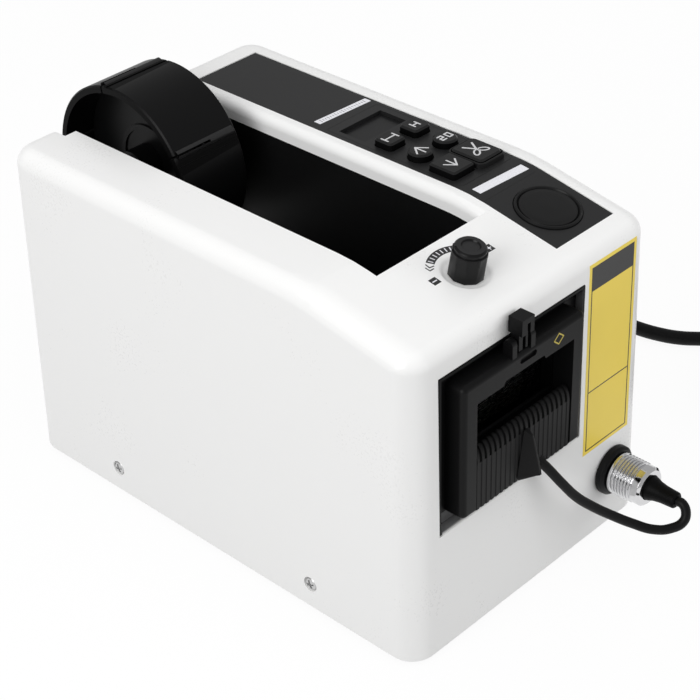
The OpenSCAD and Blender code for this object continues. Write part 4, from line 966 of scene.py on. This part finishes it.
@dataclass
class Cords:
    """The sensor cord and the mains lead, routed as in the solids; millimetres, whole lengths in metres."""

    sensor_d: float = 3.8
    boot_end: Point = (47.4, -137.2, 27.0)
    boot_stub: float = 0.6
    gland_end: Point = (-2.05, -109.3, 60.0)
    gland_way: Point = (-2.4, 2.5, 4.0)
    sensor_loop: tuple[Point, ...] = (
        (46.8, -141.8, 24.4), (44.8, -142.2, 21.2), (40.4, -139.8, 19.4), (34.4, -136.0, 20.5),
        (28.6, -130.4, 23.9), (22.0, -125.4, 29.1), (15.4, -121.4, 35.0), (9.0, -118.0, 41.8),
        (4.0, -114.9, 49.4))
    lead_d: float = 6.4
    bush_end: Point = (44.0, 137.2, 22.5)
    lead_loop: tuple[Point, ...] = (
        (45.5, 158.0, 19.6), (51.0, 170.5, 14.0), (62.0, 180.0, 8.2), (77.0, 184.0, 4.6), (92.0, 181.5, 3.4),
        (106.0, 173.5, 3.25), (119.0, 161.0, 3.25), (131.0, 145.0, 3.25), (141.5, 127.0, 3.25),
        (150.0, 107.5, 3.25), (156.0, 87.0, 3.25), (160.3, 66.0, 3.25), (162.7, 44.0, 3.25),
        (163.7, 22.0, 3.25), (163.8, 0.0, 3.25), (163.6, -17.0, 3.25), (164.4, -34.0, 3.25),
        (166.8, -45.0, 3.25), (170.4, -53.3, 3.25), (175.4, -60.1, 3.25), (182.0, -67.9, 3.3),
        (189.0, -76.1, 3.7))
    tail_loop: tuple[Point, ...] = ((216.2, -108.4, 11.1), (220.6, -116.4, 11.0), (223.6, -125.0, 11.0))
    tail_end: Point = (225.0, -140.0, 11.0)
    coil_turns: int = 5
    coil_inner: float = 26.0
    coil_gap: float = 0.6
    coil_lift: float = 1.0
    coil_climb: float = 0.5
    coil_rings: int = 24
    coil_start: Flat = (206.0, -96.0)
    coil_heading: Flat = (0.65, -0.76)
    sensor_length: float = 0.084
    lead_length: float = 1.54

    def coil(self) -> list[Vector]:
        """Finds the stored loops, in and out in two layers, with a straight stub at each end.

        Returns:
            Their points.
        """
        pitch = self.lead_d + self.coil_gap
        half = self.coil_turns / 2
        way = Vector(self.coil_heading).normalized()
        outer = self.coil_inner + pitch * half
        middle = Vector(self.coil_start) + outer * Vector((way.y, -way.x))
        first = math.atan2(-way.x, way.y) + math.pi
        loops = []
        for i in range(self.coil_turns * self.coil_rings + 1):
            u = i / self.coil_rings
            r = self.coil_inner + pitch * abs(u - half)
            share = min(1.0, max(0.0, (u - half) / self.coil_climb + 0.5))
            a = first - 2 * math.pi * u
            z = self.lead_d / 2 + self.coil_lift + pitch * (1 - math.cos(math.pi * share)) / 2
            loops.append(Vector((middle.x + r * math.cos(a), middle.y + r * math.sin(a), z)))
        stub = Vector((way.x, way.y, 0.0)) * self.lead_d
        return [loops[0] - 2 * stub, loops[0] - stub, *loops, loops[-1] + stub, loops[-1] + 2 * stub]

    def build(self) -> None:
        """Lays both cords."""
        start = Vector(self.boot_end)
        end = Vector(self.gland_end)
        way = Vector(self.gland_way).normalized() * self.sensor_d
        stub = Vector((0.0, self.boot_stub * self.sensor_d, 0.0))
        route = [start, start - stub, *self.sensor_loop, end - way, end]
        sensor = Lead("sensor_lead", self.sensor_d, route).build(CORD_BLACK, "cord_black")
        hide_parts("sensor_cord")
        leave = Vector(self.bush_end)
        last = Vector(self.tail_end)
        stub = Vector((0.0, self.lead_d, 0.0))
        route = [leave, leave + stub, *self.lead_loop, *self.coil(), *self.tail_loop, last + stub, last]
        mains = Lead("mains_lead", self.lead_d, route).build(CORD_BLACK, "cord_black")
        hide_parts("power_cord", "power_cord_coil", "power_cord_tail")


@dataclass
class Shell:
    """The white housing with its front label; sizes in millimetres."""

    label_x: Flat = (29.0, 57.0)
    label_z: Flat = (42.5, 126.5)
    label_lift: float = 0.05
    label_depth: float = 0.08
    border: float = 1.5
    line: float = 0.5
    header: float = 10.0
    rule: float = 28.0
    print_lift: float = 0.07
    print_step: float = 0.002
    print_depth: float = 0.05
    cell: float = 1.5
    stand: float = 60.0
    skin: Drape = field(default_factory=lambda: Drape("housing"))

    def front_sheet(self, name: str, box: Box, lift: float, depth: float, finish: Finish) -> None:
        """Lays a rectangle on the front face.

        Args:
            name: The piece's name.
            box: Its left, right, foot and top.
            lift: Height of its face over the skin.
            depth: Its thickness.
            finish: Its finish.
        """
        left, right, foot, top = box
        wide, high = right - left, top - foot
        rays = Rays((left, DECK.front_y - self.stand, foot), (wide, 0.0, 0.0), (0.0, 0.0, high), REAR)
        cells = (max(2, int(wide / self.cell)), max(2, int(high / self.cell)))
        new_piece(name, self.skin.lay(name, rays, Sheet(cells, lift, depth)), finish, MACHINE)

    def label(self) -> None:
        """Lays the plain yellow label with its border lines and dark header."""
        (x0, x1), (z0, z1) = self.label_x, self.label_z
        self.front_sheet("label_sheet", (x0, x1, z0, z1), self.label_lift, self.label_depth, LABEL_YELLOW)
        w, rule = self.line, z0 + self.rule
        x0, x1, z0, z1 = x0 + self.border, x1 - self.border, z0 + self.border, z1 - self.border
        bars = {
            "label_left": (x0, x0 + w, z0, z1), "label_right": (x1 - w, x1, z0, z1),
            "label_foot": (x0, x1, z0, z0 + w), "label_top": (x0, x1, z1 - w, z1),
            "label_header": (x0, x1, z1 - self.header, z1 - w), "label_rule": (x0, x1, rule, rule + w)}
        for i, (name, box) in enumerate(bars.items()):
            self.front_sheet(name, box, self.print_lift + self.print_step * i, self.print_depth, PRINT_BLACK)

    def build(self) -> None:
        """Dresses the housing."""
        dress("housing", SHELL_WHITE, ROUND_SKIN)
        self.label()


@dataclass
class SideScrews:
    """Pan-head screws with a cross recess, two on each side; sizes in millimetres, angles in degrees."""

    head_r: float = 2.8
    head_h: float = 1.3
    dome: Flat = (0.35, 0.3)
    seat: float = 66.3
    seat_gap: float = 0.02
    height: float = 12.0
    spread: float = 54.0
    cross_w: float = 0.45
    cross_l: float = 1.7
    cross_turn: float = 24.0
    recess: float = 0.75
    rounds: int = 14
    spokes: int = 48
    first_spoke: float = 36.0

    def crown(self, u: float, v: float) -> float:
        """Finds the height of a head over its seat.

        Args:
            u: Place on the head's face, backwards from its middle.
            v: Place on it, upwards from its middle.

        Returns:
            The height.
        """
        turn = math.radians(self.cross_turn)
        x, y = u * math.cos(turn) - v * math.sin(turn), u * math.sin(turn) + v * math.cos(turn)
        r = math.hypot(x, y) / self.head_r
        top = self.head_h * (1.0 - self.dome[0] * r ** 2 - self.dome[1] * r ** 8)
        near, far = sorted((abs(x), abs(y)))
        return top - self.recess if near < self.cross_w and far < self.cross_l else top

    def head(self, shape: bmesh.types.BMesh, side: float, y: float) -> None:
        """Adds one head.

        Args:
            shape: The mesh that grows.
            side: -1 on the left side, 1 on the right one.
            y: Where the screw stands.
        """
        turns = [math.radians(self.first_spoke) + 2 * math.pi * k / self.spokes for k in range(self.spokes)]
        reaches = [self.head_r * i / self.rounds for i in range(1, self.rounds + 1)]
        flats = [[(r * math.cos(t), r * math.sin(t)) for t in turns] for r in reaches]

        def corners(flat: Sequence[Flat], rise: Callable[[float, float], float]) -> Corners:
            """Adds corners that stand off the seat."""
            return ring(shape, [(side * (self.seat + rise(u, v)), y + u, self.height + v) for u, v in flat])

        rings = [corners(flat, self.crown) for flat in flats]
        rings.append(corners(flats[-1], lambda u, v: self.seat_gap))
        for first, second in zip(rings, rings[1:]):
            bridge(shape, first, second)
        shape.faces.new(rings[-1])
        tip = corners([(0.0, 0.0)], self.crown)
        for k in range(self.spokes):
            shape.faces.new((tip[0], rings[0][k - 1], rings[0][k]))

    def build(self) -> None:
        """Builds the four heads as one piece for the solid screws."""
        shape = bmesh.new()
        for side in (-1.0, 1.0):
            for y in (-self.spread, self.spread):
                self.head(shape, side, y)
        piece = new_piece("screw_heads", mesh_of(shape, "screw_heads"), SCREW_STEEL, MACHINE)
        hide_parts("housing_screws")


@dataclass
class Panel:
    """The control panel with its keys and strips; sizes in millimetres."""

    top_z: float = 140.2
    stand: float = 60.0
    panel_edge: float = 0.12
    key_h: float = 3.0
    key_flank: float = 0.3
    columns: Flat = (32.0, 46.2)
    rows: Point = (-6.2, -21.6, -37.1)
    mark: float = 0.7
    bold: float = 1.2
    long_span: Flat = (3.0, 1.7)
    short_span: Flat = (1.4, 1.5)
    arrow: Flat = (-2.6, 2.7)
    barb: Flat = (3.1, -1.2)
    preset: tuple[tuple[Flat, ...], ...] = (
        ((-2.9, 1.5), (-0.9, 1.5), (-0.9, 0.0), (-2.9, 0.0), (-2.9, -1.5), (-0.9, -1.5)),
        ((0.9, 1.5), (2.9, 1.5), (2.9, -1.5), (0.9, -1.5), (0.9, 1.5)))
    cut_blade: Box = (-2.6, 4.5, 0.3, -0.4)
    cut_grip: Box = (1.9, -1.9, 0.75, -0.66)
    grip_half: Flat = (2.2, 1.15)
    strip_rear: Box = (26.6, 54.2, 24.9, 28.2)
    strip_front: Box = (25.9, 52.3, -56.9, -52.9)
    strip_skew: float = -1.4
    strip_lift: float = 0.05
    strip_depth: float = 0.06
    strip_cells: tuple[int, int] = (4, 6)
    seam: Box = (22.6, 52.6, -60.3, -60.0)
    seam_lift: float = 0.03
    overlay: Box = (24.8, 53.8, -48.2, 20.6)
    overlay_r: float = 1.5
    overlay_w: float = 0.3
    ticks: int = 9
    tick_pitch: float = 1.3
    tick_half: Flat = (0.9, 0.5)
    tick_w: float = 0.24
    tick_group: int = 3
    collar_half: Flat = (6.65, 8.05)
    collar_r: float = 2.1
    collar: tuple[Flat, ...] = ((0.0, -0.1), (0.0, 2.0), (0.2, 2.2), (0.5, 2.2), (0.8, 1.9), (0.9, -0.1))
    skin: Drape = field(default_factory=lambda: Drape("control_panel"))

    def strip(self, name: str, box: Box, finish: Finish, lift: float, skew: float = 0.0) -> None:
        """Lays a strip on the panel.

        Args:
            name: The piece's name.
            box: Its left, right, front and rear.
            finish: Its finish.
            lift: Height of its face over the panel.
            skew: How much further back its right end lies than its left end.
        """
        x0, x1, y0, y1 = box
        corner = (x0, y0 - skew / 2, self.top_z + self.stand)
        rays = Rays(corner, (x1 - x0, skew, 0.0), (0.0, y1 - y0, 0.0), DOWN)
        mesh = self.skin.lay(name, rays, Sheet(self.strip_cells, lift, self.strip_depth))
        new_piece(name, mesh, finish, MACHINE)

    @staticmethod
    def rounded(half: Flat, radius: float, steps: int = 6) -> list[Flat]:
        """Points of a rounded rectangle round the origin, counter-clockwise.

        Args:
            half: Half its width and half its length.
            radius: Radius of its corners.
            steps: Pieces of each corner.

        Returns:
            The points.
        """
        points = []
        for k, (sx, sy) in enumerate(((1, 1), (-1, 1), (-1, -1), (1, -1))):
            for i in range(steps + 1):
                t = math.pi / 2 * (k + i / steps)
                points.append((sx * (half[0] - radius) + radius * math.cos(t),
                               sy * (half[1] - radius) + radius * math.sin(t)))
        return points

    def cut_collar(self) -> None:
        """Builds the low collar round the cutting key."""
        x0, y0 = self.columns[1], self.rows[2]
        shape = bmesh.new()
        rings = []
        for out, up in self.collar:
            half = (self.collar_half[0] + out, self.collar_half[1] + out)
            line = self.rounded(half, self.collar_r + out)
            rings.append(ring(shape, [(x0 + x, y0 + y, self.top_z + up) for x, y in line]))
        for first, second in zip(rings, rings[1:] + rings[:1]):
            bridge(shape, first, second)
        new_piece("cut_collar", mesh_of(shape, "cut_collar"), KEY_BLACK, MACHINE)

    def overlay_line(self) -> None:
        """Prints the overlay's outline."""
        x0, x1, y0, y1 = self.overlay
        marks = Marks(Plane(((x0 + x1) / 2, (y0 + y1) / 2, self.top_z), RIGHT, REAR))
        line = self.rounded(((x1 - x0) / 2, (y1 - y0) / 2), self.overlay_r)
        marks.chain([*line, line[0]], self.overlay_w)
        marks.finish("overlay_line", GROOVE_BLACK, MACHINE, "panel_black")

    def strip_scale(self) -> None:
        """Prints the fine scale on the rear strip."""
        x0, x1, y0, y1 = self.strip_rear
        middle = ((x0 + x1) / 2, (y0 + y1) / 2, self.top_z + self.strip_lift)
        tilt = Vector((x1 - x0, self.strip_skew, 0.0)).normalized()
        marks = Marks(Plane(middle, tilt, (-tilt.y, tilt.x, 0.0)))
        for i in range(-self.ticks, self.ticks + 1):
            x, half = i * self.tick_pitch, self.tick_half[1 if i % self.tick_group else 0]
            marks.stroke((x, -half), (x, half), self.tick_w)
        marks.finish("strip_scale", PRINT_DARK, MACHINE, "panel_black")

    def key_marks(self, column: int, row: int) -> Marks:
        """Starts the marks of one key."""
        return Marks(Plane((self.columns[column], self.rows[row], self.top_z + self.key_h), RIGHT, REAR))

    @staticmethod
    def span_sign(half: Flat) -> list[list[Flat]]:
        """Lines of a bar between two end strokes, from half the length and half the strokes' height."""
        reach, tall = half
        return [[(-reach, 0.0), (reach, 0.0)], *([(x, -tall), (x, tall)] for x in (-reach, reach))]

    def arrow_sign(self, way: float) -> list[list[Flat]]:
        """Lines of an arrow that points to the rear (1) or the front (-1)."""
        (tail, tip), (x, y) = self.arrow, self.barb
        return [[(0.0, tail * way), (0.0, tip * way)], [(-x, y * way), (0.0, tip * way), (x, y * way)]]

    def symbols(self) -> None:
        """Prints plain signs on the six keys."""
        signs = (("sign_long_unit", "key_long_unit", 0, 0, self.span_sign(self.long_span)),
                 ("sign_short_unit", "key_short_unit", 1, 0, self.span_sign(self.short_span)),
                 ("sign_key_up", "key_up", 0, 1, self.arrow_sign(1.0)),
                 ("sign_key_down", "key_down", 0, 2, self.arrow_sign(-1.0)),
                 ("sign_preset", "key_preset", 1, 1, self.preset))
        for name, key, column, row, lines in signs:
            marks = self.key_marks(column, row)
            for line in lines:
                marks.chain(line, self.mark)
            marks.finish(name, PRINT_GREY, key, "key_black")
        marks = self.key_marks(1, 2)
        for side in (-1.0, 1.0):
            x0, y0, x1, y1 = self.cut_blade
            marks.stroke((x0 * side, y0), (x1 * side, y1), self.mark * self.bold)
            x, y, along, down = self.cut_grip
            marks.loop((x * side, y), (along * side, down), self.grip_half, self.mark)
        marks.finish("sign_cut", PRINT_GREY, "key_cut", "key_black")

    def build(self) -> None:
        """Dresses the panel, keys and display."""
        dress("control_panel", PANEL_BLACK, Edge(self.panel_edge, 1))
        for node in ("key_long_unit", "key_short_unit", "key_up", "key_preset", "key_down", "key_cut"):
            key = dress(node, KEY_BLACK, ROUND_SKIN)
            # painted shade: the keys' steep sides get the darker black in place of the shade on them
            second_finish(key, PAINTED_SHADE_BLACK, lambda face: abs(face.normal.z) < self.key_flank)
        dress("start_button", BUTTON_BLACK, ROUND_SKIN)
        dress("display_window", LENS_SMOKE)
        self.symbols()
        self.cut_collar()
        self.overlay_line()
        self.strip_scale()
        self.strip("strip_rear", self.strip_rear, STRIP_WHITE, self.strip_lift, self.strip_skew)
        self.strip("strip_front", self.strip_front, STRIP_WHITE, self.strip_lift, self.strip_skew)
        self.strip("panel_seam", self.seam, GROOVE_BLACK, self.seam_lift)


@dataclass
class PressureScale:
    """Plain scale round the pressure knob; sizes in millimetres, angles in degrees."""

    knob_x: float = -13.0
    knob_y: float = -82.6
    knob_flat: float = 0.9
    band: Flat = (11.2, 14.4)
    band_ends: Flat = (46.0, 122.0)
    band_steps: int = 40
    ticks: int = 9
    tick_inset: float = 0.8
    tick_w: float = 0.45
    chevrons: Flat = (127.0, 134.5)
    chevron_point: float = 6.0
    chevron_inset: float = 0.2
    minus_at: Flat = (-12.8, 3.3)
    plus_at: Flat = (16.3, 3.5)
    box: float = 3.4
    sign_half: float = 0.9
    line: float = 0.5
    light_lift: float = 0.05

    @staticmethod
    def polar(radius: float, angle: float) -> Flat:
        """Point at a radius and an angle."""
        return radius * math.cos(math.radians(angle)), radius * math.sin(math.radians(angle))

    def dark(self, plane: Plane) -> None:
        """Prints the band, the chevrons and the two boxes.

        Args:
            plane: The deck round the knob.
        """
        inner, outer = self.band
        middle = (inner + outer) / 2
        marks = Marks(plane)
        marks.arc((0.0, 0.0), middle, self.band_ends, outer - inner, self.band_steps)
        for angle in self.chevrons:
            ends = [self.polar(r, angle) for r in (inner + self.chevron_inset, outer - self.chevron_inset)]
            marks.chain((ends[0], self.polar(middle, angle + self.chevron_point), ends[1]), self.line)
        h = self.box / 2
        for x, y in (self.minus_at, self.plus_at):
            marks.face(((x - h, y - h), (x + h, y - h), (x + h, y + h), (x - h, y + h)))
        marks.finish("scale_dark", PRINT_BLACK, MACHINE, "white_shell")

    def light(self, plane: Plane) -> None:
        """Prints the fine marks on the band and the minus and plus in the boxes.

        Args:
            plane: The deck round the knob.
        """
        inner, outer = self.band[0] + self.tick_inset, self.band[1] - self.tick_inset
        first, last = self.band_ends
        marks = Marks(plane, self.light_lift)
        for i in range(self.ticks):
            angle = first + (last - first) * (i + 0.5) / self.ticks
            marks.stroke(self.polar(inner, angle), self.polar(outer, angle), self.tick_w)
        h = self.sign_half
        for x, y in (self.minus_at, self.plus_at):
            marks.stroke((x - h, y), (x + h, y), self.line)
        x, y = self.plus_at
        marks.stroke((x, y - h), (x, y + h), self.line)
        marks.finish("scale_light", STRIP_WHITE, MACHINE, "white_shell")

    def build(self) -> None:
        """Dresses the knob and prints its scale."""
        knob = dress("pressure_knob", KNOB_BLACK, SOFT_EDGE)
        # painted sheen: the knob's faces that look up along the deck get the lighter top black
        second_finish(knob, KNOB_TOP_PAINTED_SHEEN, lambda face: face.normal.dot(DECK.normal()) > self.knob_flat)
        middle = (self.knob_x, self.knob_y, DECK.height(self.knob_y))
        plane = Plane(middle, RIGHT, DECK.normal().cross(Vector(RIGHT)))
        self.dark(plane)
        self.light(plane)


@dataclass
class Comb:
    """The ribbed lip of the outlet, its grooves deep in the crest and faint below; sizes in millimetres."""

    ends: Flat = (-39.35, 13.45)
    ribs: int = 20
    front: float = -110.2
    back: float = -101.8
    low: float = 59.7
    foot: float = 79.7
    shoulder: float = 0.1
    crest: Flat = (3.0, 6.0)
    crest_back: float = 0.7
    heel: float = 79.0
    face_groove: float = 0.22
    crest_groove: float = 0.65
    arc_steps: int = 8
    stations: tuple[float, ...] = (0.0, 0.16, 0.26, 0.74, 0.84)

    def side(self, share: float) -> list[Flat]:
        """Gives the comb's outline at one place along it.

        Args:
            share: Place within the pitch of a rib, from 0 in a groove over 0.5 on the rib to 1.

        Returns:
            The outline, from the low front edge over the crest to the low back edge.
        """
        dip = 0.0 if self.stations[2] <= share <= self.stations[3] else 1.0
        wide, high = self.crest
        face = self.front + self.face_groove * dip
        deep = self.crest_groove * dip
        points = [(face, self.low), (face, self.foot)]
        for k in range(self.arc_steps + 1):
            t = math.pi / 2 * k / self.arc_steps
            points.append((self.front + wide - (wide - deep) * math.cos(t),
                           self.foot + self.shoulder + (high - deep) * math.sin(t)))
        behind = self.front + wide + self.crest_back
        points += [(behind, self.foot + high - deep - self.crest_back),
                   (behind + self.crest_back, self.heel), (self.back, self.heel), (self.back, self.low)]
        return points

    def build(self) -> None:
        """Lofts the ribs along the lip."""
        shape = bmesh.new()
        first, last = self.ends
        rows = []
        for i, share in [*product(range(self.ribs), self.stations), (self.ribs, 0.0)]:
            x = first + (last - first) * (i + share) / self.ribs
            rows.append(ring(shape, [(x, y, z) for y, z in self.side(share)]))
        loft(shape, rows)
        mesh = mesh_of(shape, "ribbed_comb")
        comb = new_piece("ribbed_comb", mesh, MOULDED_BLACK, MACHINE)
        ROUND_SKIN.soften(comb)
        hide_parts("outlet_comb")


@dataclass
class Outlet:
    """The guarded tape outlet; sizes in millimetres."""

    guard_front: float = -110.5
    bezel_back: float = -101.6
    mark_at: Flat = (4.6, 110.6)
    mark_half: Flat = (2.6, 2.2)
    mark_w: float = 0.5
    recess_x: Flat = (-51.5, 25.0)
    recess_y: Flat = (-104.95, -101.8)
    recess_z: Flat = (54.8, 59.4)
    recess_top: float = 118.8
    recess_sheet: Sheet = Sheet((8, 2), 0.05, 0.08)
    wall_gap: float = 1.0
    sill: tuple[Flat, ...] = (
        (-104.9, 54.75), (-105.1, 54.6), (-105.4, 53.5), (-105.3, 53.36), (-104.9, 54.5))
    nose: tuple[Point, ...] = (
        (-13.5, -110.15, 80.8), (-11.0, -110.15, 80.4), (-16.8, -110.15, 61.2), (-15.7, -110.15, 59.5),
        (-3.1, -110.15, 59.0), (-3.1, -110.15, 60.2), (-12.3, -113.2, 79.2), (-11.5, -113.2, 78.9),
        (-10.6, -115.85, 62.6), (-9.5, -115.85, 61.6))
    nose_edge: float = 0.2

    def recess(self) -> None:
        """Lays grey sheets on the recess's floor, back and right wall; their grey is partly own colour,
        partly painted light.
        """
        skin = Drape("front_bezel")
        (x0, x1), (y0, y1), (z0, z1) = self.recess_x, self.recess_y, self.recess_z
        wide, deep = (x1 - x0, 0.0, 0.0), (0.0, y1 - y0, 0.0)
        high, tall = (0.0, 0.0, z1 - z0), (0.0, 0.0, self.recess_top - z0)
        # partly painted light: the floor's lighter grey makes up for the shade on it, the right wall's grey
        # stands for the light on it
        for name, rays, finish in (
                ("recess_floor", Rays((x0, y0, z1), wide, deep, DOWN), FLOOR_GREY_PAINTED_LIGHT),
                ("recess_back", Rays((x0, (y0 + y1) / 2, z0), wide, high, REAR), BACK_GREY_PAINTED_LIGHT),
                ("recess_right", Rays((x1 - self.wall_gap, y0, z0), deep, tall, RIGHT), BACK_GREY_PAINTED_LIGHT)):
            new_piece(name, skin.lay(name, rays, self.recess_sheet), finish, MACHINE)

    def front_sill(self) -> None:
        """Rounds the recess off to the white face with a strip along its low edge, whose fade from white to
        grey is painted shade.
        """
        shape = bmesh.new()
        loft(shape, [ring(shape, [(x, y, z) for y, z in self.sill]) for x in self.recess_x])
        new_piece("recess_sill", mesh_of(shape, "recess_sill"), SILL_PAINTED_SHADE_FADE, MACHINE)

    def sensor_nose(self) -> None:
        """Caps the sensor with its blunt wedge."""
        shape = bmesh.new()
        bmesh.ops.convex_hull(shape, input=ring(shape, self.nose))
        mesh = mesh_of(shape, "sensor_nose")
        cap = new_piece("sensor_nose", mesh, MOULDED_BLACK, MACHINE)
        Edge(self.nose_edge).soften(cap)

    def guard_mark(self) -> None:
        """Puts a plain mark on the guard."""
        (x, z), (wide, high) = self.mark_at, self.mark_half
        marks = Marks(Plane((x, self.guard_front, z), RIGHT, UP))
        marks.chain(((0.0, -high), (wide, 0.0), (0.0, high), (-wide, 0.0), (0.0, -high)), self.mark_w)
        marks.finish("guard_mark", MARK_YELLOW, MACHINE, "black_moulding")

    def build(self) -> None:
        """Dresses the outlet."""
        bezel = dress("front_bezel", MOULDED_BLACK, FINE_EDGE)
        # painted shade: the bezel's faces deep behind its back edge get the darker black
        second_finish(bezel, PAINTED_SHADE_BLACK, lambda face: face.center.y > self.bezel_back * MM)
        dress("outlet_guard", MOULDED_BLACK, ROUND_SKIN)
        Comb().build()
        dress("guard_latch", MOULDED_BLACK, SOFT_EDGE)
        dress("exit_sensor", MOULDED_BLACK, FINE_EDGE)
        self.guard_mark()
        self.recess()
        self.front_sill()
        self.sensor_nose()


@dataclass
class SensorPlug:
    """The screwed sensor plug at the front; sizes in millimetres."""

    moulded_edge: float = 0.25
    nut_edge: float = 0.12

    def build(self) -> None:
        """Dresses socket, nut and boot."""
        dress("sensor_socket", SOCKET_BLACK, Edge(self.moulded_edge))
        dress("coupling_nut", CHROME, Edge(self.nut_edge))
        # painted shade: the boot gets a darker black than the cord
        dress("plug_boot", BOOT_PAINTED_SHADE_BLACK, Edge(self.moulded_edge))


@dataclass
class RearPanel:
    """Switch and lead bush at the rear; sizes in millimetres, angles in degrees."""

    rocker_at: Point = (44.0, 104.0, 62.0)
    rocker_tilt: float = 8.0
    rocker_half: float = 7.2
    rocker_mid: float = 3.0
    rocker_end: float = 4.2
    rocker_edge: float = 0.4
    mark_half: float = 1.3
    bar_w: float = 0.6
    ring_w: float = 0.5
    ring_steps: int = 14
    bush_edge: float = 0.25
    plug_edge: float = 0.5
    plug_face: float = -176.05

    def rocker_marks(self) -> None:
        """Prints a bar and a ring on the two halves of the rocker."""
        turn = Matrix.Rotation(math.radians(self.rocker_tilt), 3, "X")
        for name, side in (("rocker_on", 1.0), ("rocker_off", -1.0)):
            middle = Vector((0.0, (self.rocker_mid + self.rocker_end) / 2, side * self.rocker_half / 2))
            up = Vector((0.0, side * (self.rocker_end - self.rocker_mid), self.rocker_half))
            marks = Marks(Plane(Vector(self.rocker_at) + turn @ middle, (-1.0, 0.0, 0.0), turn @ up))
            if side > 0:
                marks.stroke((0.0, -self.mark_half), (0.0, self.mark_half), self.bar_w)
            else:
                for ends in ((0.0, 180.0), (180.0, 360.0)):
                    marks.arc((0.0, 0.0), self.mark_half, ends, self.ring_w, self.ring_steps)
            marks.finish(name, PRINT_GREY, "rocker", "black_moulding")

    def build(self) -> None:
        """Dresses the switch, the bush and what lies on the lead."""
        dress("switch_frame", MOULDED_BLACK, SOFT_EDGE)
        dress("power_switch", KEY_BLACK, Edge(self.rocker_edge))
        dress("cord_bush", CORD_BLACK, Edge(self.bush_edge))
        dress("cord_tie", MOULDED_BLACK, FINE_EDGE)
        plug = dress("mains_plug", CORD_BLACK, Edge(self.plug_edge))
        second_finish(plug, GROUND_STEEL, lambda face: face.center.y < self.plug_face * MM)
        self.rocker_marks()


@dataclass
class TapeWell:
    """Liner, wheel and guide roller; sizes in millimetres, angles in degrees."""

    wheel_smooth: float = 25.0
    wheel_y: float = 79.4
    wheel_z: float = 122.0
    wheel_r: float = 37.0
    wheel_rim: float = 3.0
    rim_facing: float = -0.9
    proud: float = 0.04
    tongues: int = 5
    groove_turn: float = 66.0
    groove_half: float = 4.2
    groove_depth: float = 1.0

    def reach(self, face: bpy.types.MeshPolygon) -> Flat:
        """Finds a wheel face's place round the axle.

        Args:
            face: The face.

        Returns:
            Its distance from the axle in millimetres and its turn from the top towards the front in degrees.
        """
        across, up = face.center.y / MM - self.wheel_y, face.center.z / MM - self.wheel_z
        return math.hypot(across, up), math.degrees(math.atan2(-across, up))

    def on_ridge(self, face: bpy.types.MeshPolygon) -> bool:
        """Tells whether a wheel face stands proud of the drum."""
        return self.reach(face)[0] > self.wheel_r + self.proud

    def gets_painted_shade(self, face: bpy.types.MeshPolygon) -> bool:
        """Tells whether a wheel face gets painted shade: on the rim's end or in a tongue's groove.

        Args:
            face: The face.

        Returns:
            Whether it does.
        """
        out, turn = self.reach(face)
        pitch = 360.0 / self.tongues
        off = (turn - self.groove_turn + pitch / 2.0) % pitch - pitch / 2.0
        on_end = face.normal.x < self.rim_facing and out > self.wheel_r - self.wheel_rim
        near_skin = self.wheel_r - self.groove_depth < out < self.wheel_r + self.proud
        return on_end or (abs(off) < self.groove_half and near_skin)

    def build(self) -> None:
        """Dresses the well."""
        dress("well_liner", LINER_BLACK, SOFT_EDGE)
        dress("axle_cheeks", LINER_BLACK, SOFT_EDGE)
        wheel = dress("tape_wheel", WHEEL_BLACK, Edge(angle=self.wheel_smooth))
        # painted highlight: the faces that stand proud of the drum get the lighter ridge black
        second_finish(wheel, RIDGE_PAINTED_HIGHLIGHT, self.on_ridge)
        # painted shade: the rim's end and the tongues' grooves get the darker black
        second_finish(wheel, PAINTED_SHADE_BLACK, self.gets_painted_shade)
        dress("wheel_axle", GROUND_STEEL)
        dress("guide_roller", MOULDED_BLACK)


@dataclass
class Innards:
    """Everything inside the housing or under it."""

    finishes: dict[str, Finish] = field(default_factory=lambda: {
        # painted shade: both frame plates get the near-black that stands for the dark inside
        "base_plate": ZINC_PLATE, "frame_left": FRAME_PAINTED_SHADE_BLACK, "frame_right": FRAME_PAINTED_SHADE_BLACK,
        "motor_bracket": ZINC_PLATE, "pressure_yoke": ZINC_PLATE, "blade_carriage": ZINC_PLATE,
        "rubber_feet": FOOT_RUBBER, "feed_roller": FOOT_RUBBER, "pressure_roller": GROUND_STEEL,
        "feed_shaft": GROUND_STEEL, "crank_disc": GROUND_STEEL, "moving_blade": GROUND_STEEL,
        "fixed_blade": GROUND_STEEL, "pressure_spring": GROUND_STEEL, "feed_motor": CAN_STEEL,
        "cutter_motor": CAN_STEEL, "feed_bushes": TURNED_BRASS, "motor_pinion": TURNED_BRASS,
        "feed_gear": GEAR_WHITE, "main_board": BOARD_GREEN, "keypad_board": BOARD_GREEN,
        "power_supply": SUPPLY_GREY, "start_switch": MOULDED_BLACK, "display_module": MOULDED_BLACK})

    def build(self) -> None:
        """Dresses the hidden pieces."""
        for node, finish in self.finishes.items():
            dress(node, finish)


def main() -> None:
    """Builds the scene."""
    logging.basicConfig(level=logging.INFO, format="%(message)s")
    for part in (Studio(), Cords(), Shell(), SideScrews(), Panel(), PressureScale(), Outlet(), SensorPlug(),
                 RearPanel(), TapeWell(), Innards()):
        part.build()
        LOG.info("%s done", type(part).__name__)


if __name__ == "__main__":
    main()
